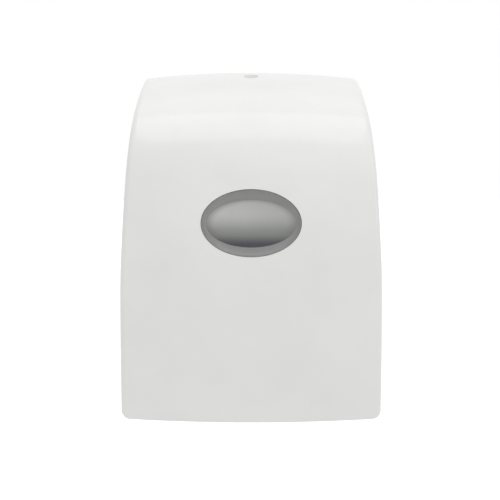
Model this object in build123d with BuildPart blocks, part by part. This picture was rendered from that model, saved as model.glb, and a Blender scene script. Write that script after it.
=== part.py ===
from build123d import *
import os
from math import atan2, cos, degrees, hypot, pi, radians, sin, sqrt, tan

# Lever-fed roll towel dispenser that hangs on a wall, in millimetres.
# X runs across it, +Y goes into the wall and +Z is up. The origin lies on the wall,
# in the middle of the cover's lower edge.

os.makedirs("parts", exist_ok=True)

# ------------------------------------------------------------------ driving dimensions

# Cover: a bowed front that leans back over a shoulder and a crown to the wall.
cover_width = 330.0
cover_height = 458.0          # lower edge to the wall end of the crown
cover_depth = 240.0           # wall to the furthest point of the front
cover_wall = 3.0
cover_rear_gap = 1.5          # wall to the cover's rear edge
brow_height = 150.0           # where the front is furthest from the wall
chin_lean = 6.5               # degrees the lower edge is tucked in
chest_lean = 20.0             # degrees the front leans back at the foot of the shoulder
shoulder_lean = 58.0          # degrees it leans back at the foot of the crown
shoulder_drop = 153.0         # foot of the shoulder below the cover's top
shoulder_radius = 178.0
bow_axis_y = 430.0            # upright axis that the front is bowed about
side_draw_radius = 1500.0     # the sides turn in above the brow on this arc
side_draw_angle = 1.85        # and run on straight at this many degrees
cover_edge_radius = 10.0
foot_corner_radius = 12.0
rear_corner_radius = 12.5

# Window: an oval dished rim round a domed lens.
window_height = 249.0
window_half_width = 62.8
window_half_height = 42.9
window_fit = 0.3
collar_width = 3.0
seat_depth = 9.0              # collar seat behind the plane that touches the skin
lens_flange_width = 9.5
lens_flange_thickness = 2.5
lens_recess = 0.5
dish_side_width = 6.5
dish_end_height = 13.0
dish_depth = 8.0
dish_rim_depth = 3.6
dish_rim = 1.3
dome_crown = 0.3
lens_wall = 2.5
window_screw_radius = 1.2
window_screw_length = 6.0

# Cover hinge.
hinge_y = -14.0
hinge_z = 14.0
hinge_pin_radius = 2.5
hinge_boss_radius = 7.0
hinge_ear_radius = 8.0
hinge_ear_thickness = 6.0
hinge_gap = 1.0
running_fit = 0.05

# Back plate.
plate_thickness = 3.0
plate_side_gap = 1.5
plate_foot = 0.0
plate_top_gap = 16.0
plate_corner_radius = 14.0
plate_flange_depth = 12.0
plate_flange_thickness = 2.5
wall_screw_spacing_x = 220.0
wall_screw_spacing_z = 200.0
wall_screw_center_z = 305.0
wall_screw_radius = 2.75
wall_pad_radius = 8.0
wall_pad_height = 1.5
rib_height = 4.0
rib_width = 2.0
rib_x = 62.0
rib_margin = 15.0               # plate above and below the ribs

# Cover lock.
lock_y = -24.0
lock_seat_drop = 13.0         # flange seat below the crown's wall end
lock_floor = 3.0
lock_body_radius = 8.0
lock_flange_radius = 10.0
lock_flange_thickness = 2.0
lock_plug_radius = 5.5
lock_body_length = 10.0
lock_nut_flats = 22.0
lock_nut_thickness = 3.0
cam_length = 15.0
cam_width = 8.0
cam_thickness = 3.0
strike_thickness = 2.5
cam_gap = 1.0                   # cam below the lock body
strike_gap = 1.0

# Towel roll.
roll_rear_gap = 20.0          # wall to the full roll
roll_z = 268.0
roll_radius = 92.0
roll_half_width = 99.0
core_inner_radius = 20.0
core_wall = 1.5
web_thickness = 0.3
web_gap = 0.3
web_half_width = 98.0
web_end_z = 8.0

# Roll arms and core hubs.
hub_flange_gap = 0.3
hub_flange_thickness = 2.0
hub_flange_margin = 4.5
hub_boss_length = 1.7
hub_spigot_length = 10.0
hub_fit = 0.4
arm_thickness = 5.0
arm_gap = 1.0
arm_end_radius = 18.0
arm_root_height = 60.0
arm_cone_length = 10.0
arm_cone_base_radius = 9.0
arm_cone_tip_radius = 5.0
arm_cone_gap = 0.8
arm_pivot_y = -14.0
arm_pivot_radius = 2.5
arm_knuckle_radius = 6.0
arm_knuckle_length = 24.0

# Side frames.
frame_inside = 112.0
frame_thickness = 3.0
frame_foot = 12.0
frame_top = 150.0
frame_front_margin = 12.0     # frame in front of the lever's pivot
frame_flange_width = 13.0
frame_screw_z = (40.0, 120.0)

# Feed roller, its shaft, bushes, knob and pinch rollers.
feed_y = -62.0
feed_z = 98.0
feed_radius = 32.0
feed_core_radius = 28.0
feed_core_bore = 24.0
feed_core_half_width = 100.0
feed_shaft_radius = 4.0
sleeve_width = 50.0
sleeve_centers = (-70.0, 0.0, 70.0)
bush_wall = 2.5
bush_flange_width = 2.5
bush_flange_thickness = 1.5
knob_radius = 22.0
knob_inside = 124.0
knob_length = 22.0
knob_flutes = 12
pinch_radius = 10.0
pinch_axle_radius = 2.5
pinch_pivot_reach = 7.1       # pivot in front of the pinch roller's axle
pinch_pivot_rise = 34.0
pinch_pin_radius = 3.0
pinch_plate_inside = 104.5
pinch_plate_thickness = 3.0
pinch_plate_radius = 6.5

# Lever.
lever_pivot_reach = 19.0      # pivot in front of the pinch frame's pivot
lever_pivot_z = 129.0
lever_pin_radius = 4.0
lever_disc_radius = 20.0
lever_arm_gap = 3.0
lever_arm_thickness = 3.5
lever_bar_reach = 34.0        # bar in front of the lever's pivot
lever_bar_z = (5.0, 25.0)
lever_bar_depth = 10.0
paddle_half_width = 55.0
paddle_foot = -14.0
paddle_thickness = 6.0
paddle_pad_thickness = 2.5

# Gears.
gear_module = 1.25
pressure_angle = 25.0
gear_face = 6.0
gear_addendum = 0.85
gear_dedendum = 1.15
gear_backlash = 0.2
sector_teeth = 96
idler_teeth = 18
pinion_teeth = 16
clutch_wall = 2.0
pinion_hub_wall = 2.0

# Paper guides, tear bar and base tray.
exit_front_gap = 6.8          # towel to the front guide
exit_rear_gap = 4.1           # towel to the rear guide
guide_thickness = 2.5
guide_half_width = 104.0
front_guide_z = (26.0, 75.0)
rear_guide_top = 60.0
tear_bar_z = (14.0, 36.0)
tear_bar_thickness = 1.2
tear_tooth_pitch = 4.0
tear_tooth_height = 3.0
tray_front_margin = 10.5      # tray in front of the front guide's inner face
tray_half_width = 144.0
tray_thickness = 2.5
tray_screw_x = (-60.0, 60.0)
tray_screw_radius = 1.75
ledge_half = 12.0
ledge_thickness = 3.0

frame_screw_radius = 2.0        # the larger of the two self-tapping screws
guide_screw_radius = 1.75
tiny_head = (2.6, 1.8)          # screw head radius and height
small_head = (2.8, 1.8)
tray_head = (3.2, 2.0)
arm_head = (3.5, 2.2)
frame_head = (3.8, 2.4)
cam_head = (4.0, 2.5)

# ------------------------------------------------------------------- worked-out sizes


def sin_deg(angle: float) -> float:
    """Sine of an angle in degrees."""
    return sin(radians(angle))


def cos_deg(angle: float) -> float:
    """Cosine of an angle in degrees."""
    return cos(radians(angle))


dome_half_width = window_half_width - dish_side_width
dome_half_height = window_half_height - dish_end_height

chin_radius = brow_height / sin_deg(chin_lean)
chin_foot_y = -cover_depth + chin_radius * (1 - cos_deg(chin_lean))
chest_top_z = cover_height - shoulder_drop
chest_radius = (chest_top_z - brow_height) / sin_deg(chest_lean)
chest_center_y = chest_radius - cover_depth
crown_foot_y = (
    chest_center_y
    - chest_radius * cos_deg(chest_lean)
    + shoulder_radius * (cos_deg(chest_lean) - cos_deg(shoulder_lean))
)
crown_foot_z = chest_top_z + shoulder_radius * (sin_deg(shoulder_lean) - sin_deg(chest_lean))
crown_rise = cover_height - crown_foot_z
crown_lean = 2 * degrees(atan2(-crown_foot_y, crown_rise)) - shoulder_lean
crown_radius = crown_rise / (sin_deg(crown_lean) - sin_deg(shoulder_lean))

cover_half = cover_width / 2
cover_inside = cover_half - cover_wall
foot_mouth = cover_half - foot_corner_radius
hinge_ear_outside = foot_mouth - hinge_gap / 2
hinge_ear_inside = hinge_ear_outside - hinge_ear_thickness
hinge_boss_inside = foot_mouth + hinge_gap / 2
plate_top = cover_height - plate_top_gap

frame_outside = frame_inside + frame_thickness
lever_arm_inside = frame_outside + lever_arm_gap
lever_arm_outside = lever_arm_inside + lever_arm_thickness
gear_inside = lever_arm_outside
gear_outside = gear_inside + gear_face

sector_radius = gear_module * sector_teeth / 2
idler_radius = gear_module * idler_teeth / 2
pinion_radius = gear_module * pinion_teeth / 2

tray_foot = frame_foot - tray_thickness
tray_screw_y = -plate_flange_depth + 4.5
roll_y = -roll_rear_gap - roll_radius
core_outer_radius = core_inner_radius + core_wall
hub_flange_radius = core_outer_radius + hub_flange_margin
bush_radius = feed_shaft_radius + bush_wall
bush_flange_radius = bush_radius + bush_flange_width
clutch_radius = feed_shaft_radius + clutch_wall

web_middle = web_gap + web_thickness / 2
web_front_y = feed_y - feed_radius - web_middle
exit_front_y = web_front_y - web_thickness / 2 - exit_front_gap
exit_rear_y = web_front_y + web_thickness / 2 + exit_rear_gap
tray_front_y = exit_front_y - tray_front_margin

pinch_y = web_front_y - web_middle - pinch_radius
pinch_pivot_y = pinch_y - pinch_pivot_reach
lever_pivot_y = pinch_pivot_y - lever_pivot_reach
lever_bar_y = lever_pivot_y - lever_bar_reach
frame_front_y = lever_pivot_y - frame_front_margin

lever_pivot = (lever_pivot_y, lever_pivot_z)
feed_center = (feed_y, feed_z)
roll_center = (roll_y, roll_z)
pinch_pivot = (pinch_pivot_y, feed_z + pinch_pivot_rise)
pinch_center = (pinch_y, feed_z)
hinge_center = (hinge_y, hinge_z)

hub_flange_outside = roll_half_width + hub_flange_gap + hub_flange_thickness
hub_outside = hub_flange_outside + hub_boss_length
arm_inside = hub_outside + arm_gap
arm_outside = arm_inside + arm_thickness
arm_middle = (arm_inside + arm_outside) / 2


def meet(first: tuple, first_reach: float, second: tuple, second_reach: float) -> tuple:
    """Upper point at the given distances from two points of the Y-Z plane."""
    span_y = second[0] - first[0]
    span_z = second[1] - first[1]
    span = hypot(span_y, span_z)
    along = (first_reach**2 - second_reach**2 + span**2) / (2 * span)
    aside = sqrt(first_reach**2 - along**2)
    return (
        first[0] + (along * span_y - aside * span_z) / span,
        first[1] + (along * span_z + aside * span_y) / span,
    )


def bearing(start: tuple, end: tuple) -> float:
    """Angle in degrees from +Y towards +Z of the line between two points."""
    return degrees(atan2(end[1] - start[1], end[0] - start[0]))


idler_center = meet(
    lever_pivot, sector_radius + idler_radius, feed_center, idler_radius + pinion_radius
)

# ------------------------------------------------------------------- shared geometry

bow_sweep = 90.0
bow_start = radians(270 - bow_sweep / 2)
bow_axis = Axis((0, bow_axis_y, 0), (0, 0, 1))
bow_plane = Plane(
    origin=(0, bow_axis_y, 0),
    x_dir=(cos(bow_start), sin(bow_start), 0),
    z_dir=(sin(bow_start), -cos(bow_start), 0),
)
block_foot = -20.0            # the cover's solid starts below its edge and is trimmed
block_tail = 25.0             # and runs on past the wall
trim_margin = 10.0


def front_outline(inset: float, foot: float, top: float) -> Sketch:
    """Front view of the cover: upright sides that turn in at the brow and run on straight.

    The outline lies `inset` inside the cover's sides, from `foot` up to `top`.
    """
    half = cover_half - inset
    radius = side_draw_radius - inset
    with BuildSketch() as outline:
        with BuildLine():
            side = Line((half, foot), (half, brow_height))
            draw = JernArc(start=side @ 1, tangent=(0, 1), radius=radius, arc_size=side_draw_angle)
            rise = top - (draw @ 1).Y
            run = Line(draw @ 1, draw @ 1 + (-rise * tan(radians(side_draw_angle)), rise))
            Line((0, foot), side @ 0)
            Line(run @ 1, (0, top))
            mirror(about=Plane.YZ)
        make_face()
    return outline.sketch


def foot_trim(inset: float) -> Sketch:
    """What is cut from the block's foot to leave the rounded lower corners.

    Inside the skin the mouth between the corners stays open downwards.
    """
    strip_height = foot_corner_radius - block_foot + trim_margin
    with BuildSketch() as trim:
        with Locations((0, foot_corner_radius)):
            Rectangle(cover_width + trim_margin, strip_height, align=(Align.CENTER, Align.MAX))
        with Locations((0, inset)):
            RectangleRounded(
                2 * (cover_half - inset),
                cover_height,
                foot_corner_radius - inset,
                align=(Align.CENTER, Align.MIN),
                mode=Mode.SUBTRACT,
            )
        if inset > 0:
            with Locations((0, foot_corner_radius)):
                Rectangle(
                    2 * foot_mouth,
                    2 * strip_height,
                    align=(Align.CENTER, Align.MAX),
                    mode=Mode.SUBTRACT,
                )
    return trim.sketch


def cover_block(inset: float) -> Part:
    """Solid bounded by the cover's front, sides and rear edge, `inset` inside its skin."""
    foot_radius = bow_axis_y - chin_foot_y - inset * cos_deg(chin_lean)
    foot_z = inset * sin_deg(chin_lean)
    apron = foot_z - block_foot
    with BuildPart() as block:
        with BuildSketch(bow_plane):
            with BuildLine():
                start = (foot_radius - apron * tan(radians(chin_lean)), block_foot)
                foot = Line(start, (foot_radius, foot_z))
                chin = JernArc(foot @ 1, foot % 1, chin_radius - inset, chin_lean)
                chest = JernArc(chin @ 1, chin % 1, chest_radius - inset, chest_lean)
                shoulder = JernArc(
                    chest @ 1, chest % 1, shoulder_radius - inset, shoulder_lean - chest_lean
                )
                crown = JernArc(
                    shoulder @ 1, shoulder % 1, crown_radius - inset, crown_lean - shoulder_lean
                )
                tail = Line(crown @ 1, crown @ 1 + (crown % 1) * block_tail)
                Polyline(tail @ 1, ((tail @ 1).X, block_foot), start)
            make_face()
        revolve(axis=bow_axis, revolution_arc=bow_sweep)
        with BuildSketch(Plane.XZ.offset(cover_rear_gap)):
            add(front_outline(inset, block_foot, cover_height + trim_margin))
        extrude(amount=cover_depth + trim_margin, mode=Mode.INTERSECT)
        side_edges = block.edges().filter_by(
            lambda edge: abs(edge.center().X) > cover_half / 2
            and edge.center().Y < -cover_rear_gap - 1
            and edge.center().Z > block_foot + 1
            and edge.geom_type != GeomType.LINE
        )
        fillet(side_edges, radius=cover_edge_radius - inset)
        with BuildSketch(Plane.XZ):
            add(foot_trim(inset))
        extrude(amount=cover_depth + trim_margin, mode=Mode.SUBTRACT)
    return block.part


def rod(center: tuple, radius: float, start: float, end: float) -> Part:
    """Round bar along X about a (y, z) centre, between two values of x."""
    with BuildPart() as bar:
        with BuildSketch(Plane.YZ.offset(start)):
            with Locations(center):
                Circle(radius)
        extrude(amount=end - start)
    return bar.part


def slab(x: tuple, y: tuple, z: tuple) -> Part:
    """Rectangular block between two values of x, of y and of z."""
    with BuildPart() as block:
        with Locations(((x[0] + x[1]) / 2, (y[0] + y[1]) / 2, (z[0] + z[1]) / 2)):
            Box(abs(x[1] - x[0]), abs(y[1] - y[0]), abs(z[1] - z[0]))
    return block.part


def link(centers: list, radius: float, start: float, end: float) -> Part:
    """Flat bar with round ends that spans (y, z) centres, between two values of x."""
    with BuildPart() as bar:
        with BuildSketch(Plane.YZ.offset(start)):
            with Locations(*centers):
                Circle(radius)
            make_hull()
        extrude(amount=end - start)
    return bar.part


def screw(shank_radius: float, length: float, head_radius: float, head_height: float) -> Part:
    """Pan-head screw that points down its own Z, with its head above the origin."""
    slot_width = head_radius / 3
    with BuildPart() as fastener:
        with BuildSketch():
            Circle(shank_radius)
        extrude(amount=-length)
        with BuildSketch():
            Circle(head_radius)
        extrude(amount=head_height)
        fillet(fastener.edges().sort_by(Axis.Z)[-1], radius=head_height / 3)
        with BuildSketch(Plane.XY.offset(head_height)):
            Rectangle(1.4 * head_radius, slot_width)
            Rectangle(slot_width, 1.4 * head_radius)
        extrude(amount=-head_height / 2, mode=Mode.SUBTRACT)
    return fastener.part


def coil(origin: tuple, axis: tuple, radius: float, wire: float, pitch: float, turns: float) -> Part:
    """Helical spring wire about an axis that leaves `origin`."""
    with BuildPart() as spring:
        with BuildLine() as path:
            Helix(pitch, pitch * turns, radius, center=origin, direction=axis)
        with BuildSketch(Plane(origin=path.line @ 0, z_dir=path.line % 0)):
            Circle(wire)
        sweep(path=path.line, is_frenet=True)
    return spring.part


def axle_plane(center: tuple, x: float) -> Plane:
    """Plane across an axle at a (y, z) centre, with +Y and +Z as its own axes."""
    return Plane(origin=(x, *center), x_dir=(0, 1, 0), z_dir=(1, 0, 0))


def involute(angle: float) -> float:
    """Involute of a pressure angle, both in radians."""
    return tan(angle) - angle


def gear_tooth(teeth: int) -> Sketch:
    """One involute tooth along +X, with a root that reaches into the gear's body."""
    pitch_radius = gear_module * teeth / 2
    base_radius = pitch_radius * cos_deg(pressure_angle)
    root_radius = pitch_radius - gear_dedendum * gear_module
    tip_radius = pitch_radius + gear_addendum * gear_module
    flank_start = max(base_radius, root_radius)
    half_tooth = pi / (2 * teeth) - gear_backlash / (2 * pitch_radius)
    steps = 4
    flank_points = []
    for step in range(steps + 1):
        radius = flank_start + (tip_radius - flank_start) * step / steps
        slope = atan2(sqrt(max(radius**2 - base_radius**2, 0)), base_radius)
        angle = half_tooth + involute(radians(pressure_angle)) - involute(slope)
        flank_points.append((radius * cos(angle), radius * sin(angle)))
    root_angle = atan2(flank_points[0][1], flank_points[0][0])
    inner = root_radius - gear_module / 2
    with BuildSketch() as tooth:
        with BuildLine():
            flank = Spline(*flank_points)
            Line(flank @ 1, ((flank @ 1).X, 0))
            Polyline(flank @ 0, (inner * cos(root_angle), inner * sin(root_angle)), (inner, 0))
            mirror(about=Plane.XZ)
        make_face()
    return tooth.sketch


def toothed_wheel(teeth: int, tooth_angle: float) -> Sketch:
    """Full gear outline with one tooth centred on `tooth_angle`."""
    tooth = gear_tooth(teeth)
    with BuildSketch() as wheel:
        Circle(gear_module * (teeth / 2 - gear_dedendum))
        for index in range(teeth):
            add(tooth, rotation=tooth_angle + index * 360 / teeth)
    return wheel.sketch


# Tooth angles that put every pair in mesh at rest.
sector_angle = bearing(lever_pivot, idler_center)
idler_angle = sector_angle + 180 + 180 / idler_teeth
idler_to_pinion = bearing(idler_center, feed_center)
idler_pitch = 360 / idler_teeth
idler_offset = (idler_angle - idler_to_pinion) % idler_pitch
pinion_angle = (
    idler_to_pinion + 180 + 180 / pinion_teeth - idler_offset * idler_teeth / pinion_teeth
)

# ------------------------------------------------------------------------ front cover

window_lean = degrees(
    atan2(window_height - brow_height, sqrt(chest_radius**2 - (window_height - brow_height) ** 2))
)
window_plane = Plane(
    origin=(0, chest_center_y - chest_radius * cos_deg(window_lean), window_height),
    x_dir=(1, 0, 0),
    z_dir=(0, -cos_deg(window_lean), sin_deg(window_lean)),
)
collar_half_width = window_half_width + collar_width
collar_half_height = window_half_height + collar_width
window_screw_margin = 1.5       # screw axes outside the collar's edge
window_screw_points = [
    (collar_half_width + window_screw_margin, 0),
    (-collar_half_width - window_screw_margin, 0),
    (0, collar_half_height + window_screw_margin),
    (0, -collar_half_height - window_screw_margin),
]
window_boss_radius = 4.0
lock_seat_z = cover_height - lock_seat_drop

outer_block = cover_block(0)
inner_block = cover_block(cover_wall)

with BuildPart() as cavity:
    add(inner_block)
    with BuildSketch(window_plane.offset(-seat_depth)):
        Ellipse(collar_half_width, collar_half_height)
        with Locations(*window_screw_points):
            Circle(window_boss_radius)
    extrude(amount=seat_depth + trim_margin, mode=Mode.SUBTRACT)
    with BuildSketch(Plane.XY.offset(lock_seat_z - lock_floor)):
        with Locations((0, lock_y)):
            Circle(lock_flange_radius + cover_wall)
    extrude(amount=lock_seat_drop + trim_margin, mode=Mode.SUBTRACT)

with BuildPart() as front_cover:
    add(outer_block)
    add(cavity.part, mode=Mode.SUBTRACT)
    with BuildSketch(window_plane.offset(trim_margin)):
        Ellipse(window_half_width, window_half_height)
    extrude(amount=-2 * trim_margin - seat_depth, mode=Mode.SUBTRACT)
    with BuildSketch(window_plane.offset(-seat_depth)):
        with Locations(*window_screw_points):
            Circle(window_screw_radius)
    extrude(amount=window_screw_length - lens_flange_thickness, mode=Mode.SUBTRACT)
    with BuildSketch(Plane.XY.offset(lock_seat_z)):
        with Locations((0, lock_y)):
            Circle(lock_flange_radius + window_fit)
    extrude(amount=lock_seat_drop, mode=Mode.SUBTRACT)
    with BuildSketch(Plane.XY.offset(lock_seat_z)):
        with Locations((0, lock_y)):
            Circle(lock_body_radius + running_fit)
    extrude(amount=-2 * lock_floor, mode=Mode.SUBTRACT)
    for side in (-1, 1):
        boss_end = side * (cover_inside + cover_wall / 2)
        pin_end = side * (cover_inside - 1)
        add(rod(hinge_center, hinge_boss_radius, side * hinge_boss_inside, boss_end))
        add(
            rod(hinge_center, hinge_pin_radius + running_fit, side * foot_mouth, pin_end),
            mode=Mode.SUBTRACT,
        )
    # The lower rear corners are rounded so that they clear the wall as the cover drops.
    with BuildSketch(Plane.YZ.offset(-cover_half - 1)):
        with Locations((0, 0)):
            Rectangle(
                rear_corner_radius + cover_rear_gap,
                rear_corner_radius,
                align=(Align.MAX, Align.MIN),
            )
        with Locations((-cover_rear_gap - rear_corner_radius, rear_corner_radius)):
            Circle(rear_corner_radius, mode=Mode.SUBTRACT)
    extrude(amount=cover_width + 2, mode=Mode.SUBTRACT)
front_cover.part.label = "front_cover"
export_step(front_cover.part, "parts/front_cover.step")

# ------------------------------------------------------------------------- window lens

dish_half_width = window_half_width - dish_rim
dish_half_height = window_half_height - dish_rim
lens_block = cover_block(lens_recess)
dome_steps = ((1.0, 0.0), (0.8, 0.36), (0.55, 0.6975), (0.3, 0.91), (0.1, 0.99))


def dome(shrink: float, foot_depth: float, crown_depth: float) -> Part:
    """Domed oval, `shrink` inside the lens dome, between two depths under the window plane."""
    with BuildPart() as cap:
        for share, rise in dome_steps:
            depth = foot_depth + (crown_depth - foot_depth) * rise
            with BuildSketch(window_plane.offset(-depth)):
                Ellipse((dome_half_width - shrink) * share, (dome_half_height - shrink) * share)
        loft()
    return cap.part


with BuildPart() as window_lens:
    add(lens_block)
    with BuildSketch(window_plane.offset(-seat_depth)):
        Ellipse(window_half_width - window_fit, window_half_height - window_fit)
    extrude(amount=seat_depth + trim_margin, mode=Mode.INTERSECT)
    with BuildSketch(window_plane.offset(-dish_depth)):
        Ellipse(dome_half_width, dome_half_height)
    with BuildSketch(window_plane.offset(-dish_rim_depth)):
        Ellipse(dish_half_width, dish_half_height)
    loft(mode=Mode.SUBTRACT)
    with BuildSketch(window_plane.offset(-dish_rim_depth)):
        Ellipse(dish_half_width, dish_half_height)
    extrude(amount=trim_margin, mode=Mode.SUBTRACT)
    add(dome(0, dish_depth, -dome_crown))
    with BuildSketch(window_plane.offset(-seat_depth)):
        Ellipse(window_half_width + lens_flange_width, window_half_height + lens_flange_width)
    extrude(amount=-lens_flange_thickness)
    add(
        dome(lens_wall, seat_depth + lens_flange_thickness, lens_wall - dome_crown),
        mode=Mode.SUBTRACT,
    )
    with BuildSketch(window_plane.offset(-seat_depth)):
        with Locations(*window_screw_points):
            Circle(window_screw_radius + window_fit)
    extrude(amount=-2 * lens_flange_thickness, mode=Mode.SUBTRACT)
window_lens.part.label = "window_lens"
export_step(window_lens.part, "parts/window_lens.step")

window_screw = screw(window_screw_radius, window_screw_length, *tiny_head)
window_screw_plane = Plane(
    origin=window_plane.offset(-seat_depth - lens_flange_thickness).origin,
    x_dir=window_plane.x_dir,
    z_dir=-window_plane.z_dir,
)
with BuildPart(window_screw_plane) as window_screws:
    with Locations(*window_screw_points):
        add(window_screw)
window_screws.part.label = "window_screws"
export_step(window_screws.part, "parts/window_screws.step")

# ------------------------------------------------------------------------- back plate

with BuildPart() as back_plate:
    with BuildSketch(Plane.XZ) as plate_outline:
        add(front_outline(cover_wall + plate_side_gap, plate_foot, plate_top))
        fillet(plate_outline.vertices().group_by(Axis.Y)[-1], radius=plate_corner_radius)
    extrude(amount=plate_thickness)
    with BuildSketch(Plane.XZ):
        add(plate_outline.sketch_local)
        offset(plate_outline.sketch_local, amount=-plate_flange_thickness, mode=Mode.SUBTRACT)
    extrude(amount=plate_flange_depth)
    for x in (-rib_x, rib_x):
        rib_sides = (x - rib_width / 2, x + rib_width / 2)
        rib_ends = (frame_top + rib_margin, plate_top - rib_margin)
        add(slab(rib_sides, (-plate_thickness - rib_height, -plate_thickness), rib_ends))
    with BuildSketch(Plane.XZ):
        with Locations((0, wall_screw_center_z)):
            with GridLocations(wall_screw_spacing_x, wall_screw_spacing_z, 2, 2):
                Circle(wall_pad_radius)
    extrude(amount=plate_thickness + wall_pad_height)
    with BuildSketch(Plane.XZ):
        with Locations((0, wall_screw_center_z)):
            with GridLocations(wall_screw_spacing_x, wall_screw_spacing_z, 2, 2):
                Circle(wall_screw_radius)
    extrude(amount=plate_thickness + wall_pad_height, mode=Mode.SUBTRACT)
    for x in tray_screw_x:
        ledge_y = (-plate_flange_depth, -plate_thickness)
        add(slab((x - ledge_half, x + ledge_half), ledge_y, (tray_foot - ledge_thickness, tray_foot)))
        with BuildSketch(Plane.XY.offset(tray_foot)):
            with Locations((x, tray_screw_y)):
                Circle(tray_screw_radius)
        extrude(amount=-ledge_thickness, mode=Mode.SUBTRACT)
    # Lower corners are notched round the cover's hinge bosses, and carry the hinge ears.
    notch_top = hinge_z + rear_corner_radius + hinge_ear_radius + 2
    for side in (-1, 1):
        add(
            slab(
                (side * hinge_ear_outside, side * cover_half),
                (-plate_flange_depth, 0),
                (0, notch_top),
            ),
            mode=Mode.SUBTRACT,
        )
        ear_side = (side * hinge_ear_inside, side * hinge_ear_outside)
        add(rod(hinge_center, hinge_ear_radius, *ear_side))
        add(slab(ear_side, (hinge_y, 0), (hinge_z - hinge_ear_radius, hinge_z + hinge_ear_radius)))
        add(
            rod(
                hinge_center,
                hinge_pin_radius + running_fit,
                side * (hinge_ear_inside - 1),
                side * (hinge_ear_outside + 1),
            ),
            mode=Mode.SUBTRACT,
        )
back_plate.part.label = "back_plate"
export_step(back_plate.part, "parts/back_plate.step")

with BuildPart() as hinge_pins:
    for side in (-1, 1):
        head_end = side * (hinge_ear_inside - 2)
        pin_end = side * (cover_inside - 2)
        add(rod(hinge_center, hinge_pin_radius, side * hinge_ear_inside, pin_end))
        add(rod(hinge_center, 2 * hinge_pin_radius, side * hinge_ear_inside, head_end))
hinge_pins.part.label = "hinge_pins"
export_step(hinge_pins.part, "parts/hinge_pins.step")

# -------------------------------------------------------------------------- cover lock

lock_center = (0, lock_y)
lock_body_foot = lock_seat_z - lock_body_length
lock_flange_top = lock_seat_z + lock_flange_thickness
cam_top = lock_body_foot - cam_gap
cam_foot = cam_top - cam_thickness

with BuildPart() as lock_housing:
    with BuildSketch(Plane.XY.offset(lock_body_foot)):
        with Locations(lock_center):
            Circle(lock_body_radius)
    extrude(amount=lock_body_length)
    with BuildSketch(Plane.XY.offset(lock_seat_z)):
        with Locations(lock_center):
            Circle(lock_flange_radius)
    extrude(amount=lock_flange_thickness)
    with BuildSketch(Plane.XY.offset(lock_body_foot)):
        with Locations(lock_center):
            Circle(lock_plug_radius + running_fit)
    extrude(amount=lock_body_length + lock_flange_thickness, mode=Mode.SUBTRACT)
lock_housing.part.label = "lock_housing"
export_step(lock_housing.part, "parts/lock_housing.step")

with BuildPart() as lock_nut:
    with BuildSketch(Plane.XY.offset(lock_seat_z - lock_floor)):
        with Locations(lock_center):
            RegularPolygon(lock_nut_flats / 2, 6, major_radius=False)
            Circle(lock_body_radius, mode=Mode.SUBTRACT)
    extrude(amount=-lock_nut_thickness)
lock_nut.part.label = "lock_nut"
export_step(lock_nut.part, "parts/lock_nut.step")

cam_screw_radius = 2.0
cam_screw_bite = 3.0            # thread of the cam's screw inside the plug
key_slot = (1.6, 6.5)
key_slot_depth = 7.0
with BuildPart() as lock_plug:
    with BuildSketch(Plane.XY.offset(cam_top)):
        with Locations(lock_center):
            Circle(lock_plug_radius)
    extrude(amount=lock_flange_top - cam_top)
    with BuildSketch(Plane.XY.offset(lock_flange_top)):
        with Locations(lock_center):
            Rectangle(*key_slot)
    extrude(amount=-key_slot_depth, mode=Mode.SUBTRACT)
    with BuildSketch(Plane.XY.offset(cam_top)):
        with Locations(lock_center):
            Circle(cam_screw_radius)
    extrude(amount=cam_screw_bite + 0.5, mode=Mode.SUBTRACT)
lock_plug.part.label = "lock_plug"
export_step(lock_plug.part, "parts/lock_plug.step")

with BuildPart() as lock_cam:
    with BuildSketch(Plane.XY.offset(cam_foot)):
        with Locations(lock_center):
            Circle(lock_plug_radius + 1)
        with Locations((0, lock_y + (cam_length - cam_width / 2) / 2)):
            Rectangle(cam_width, cam_length - cam_width / 2)
        with Locations((0, lock_y + cam_length - cam_width / 2)):
            Circle(cam_width / 2)
        with Locations(lock_center):
            Circle(cam_screw_radius + running_fit, mode=Mode.SUBTRACT)
    extrude(amount=cam_thickness)
lock_cam.part.label = "lock_cam"
export_step(lock_cam.part, "parts/lock_cam.step")

with BuildPart(Plane(origin=(0, lock_y, cam_foot), z_dir=(0, 0, -1))) as cam_screw:
    add(screw(cam_screw_radius, cam_thickness + cam_screw_bite, *cam_head))
cam_screw.part.label = "cam_screw"
export_step(cam_screw.part, "parts/cam_screw.step")

# The strike stands in front of the turned cam, to its left.
strike_side_gap = 2.0
strike_tip_margin = 3.0
strike_shelf_drop = 11.0        # shelf below the cam
strike_foot_height = 20.0
strike_overlap = 2.0            # strike past the cam's two faces
strike_right = -lock_plug_radius - strike_side_gap
strike_left = -cam_length - strike_tip_margin
strike_rear_y = lock_y - cam_width / 2 - strike_gap
strike_shelf_z = cam_foot - strike_shelf_drop
strike_screw_z = strike_shelf_z - 0.6 * strike_foot_height
with BuildPart() as lock_strike:
    strike_sides = (strike_left, strike_right)
    strike_front_y = strike_rear_y - strike_thickness
    strike_foot_y = (-plate_thickness - strike_thickness, -plate_thickness)
    add(slab(strike_sides, strike_foot_y, (strike_shelf_z - strike_foot_height, strike_shelf_z)))
    add(
        slab(
            strike_sides,
            (strike_front_y, -plate_thickness),
            (strike_shelf_z - strike_thickness, strike_shelf_z),
        )
    )
    strike_tab_z = (strike_shelf_z - strike_thickness, cam_top + strike_overlap)
    add(slab(strike_sides, (strike_front_y, strike_rear_y), strike_tab_z))
    with BuildSketch(Plane.XZ.offset(plate_thickness)):
        with Locations(((strike_left + strike_right) / 2, strike_screw_z)):
            Circle(frame_screw_radius)
    extrude(amount=strike_thickness, mode=Mode.SUBTRACT)
lock_strike.part.label = "lock_strike"
export_step(lock_strike.part, "parts/lock_strike.step")

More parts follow.
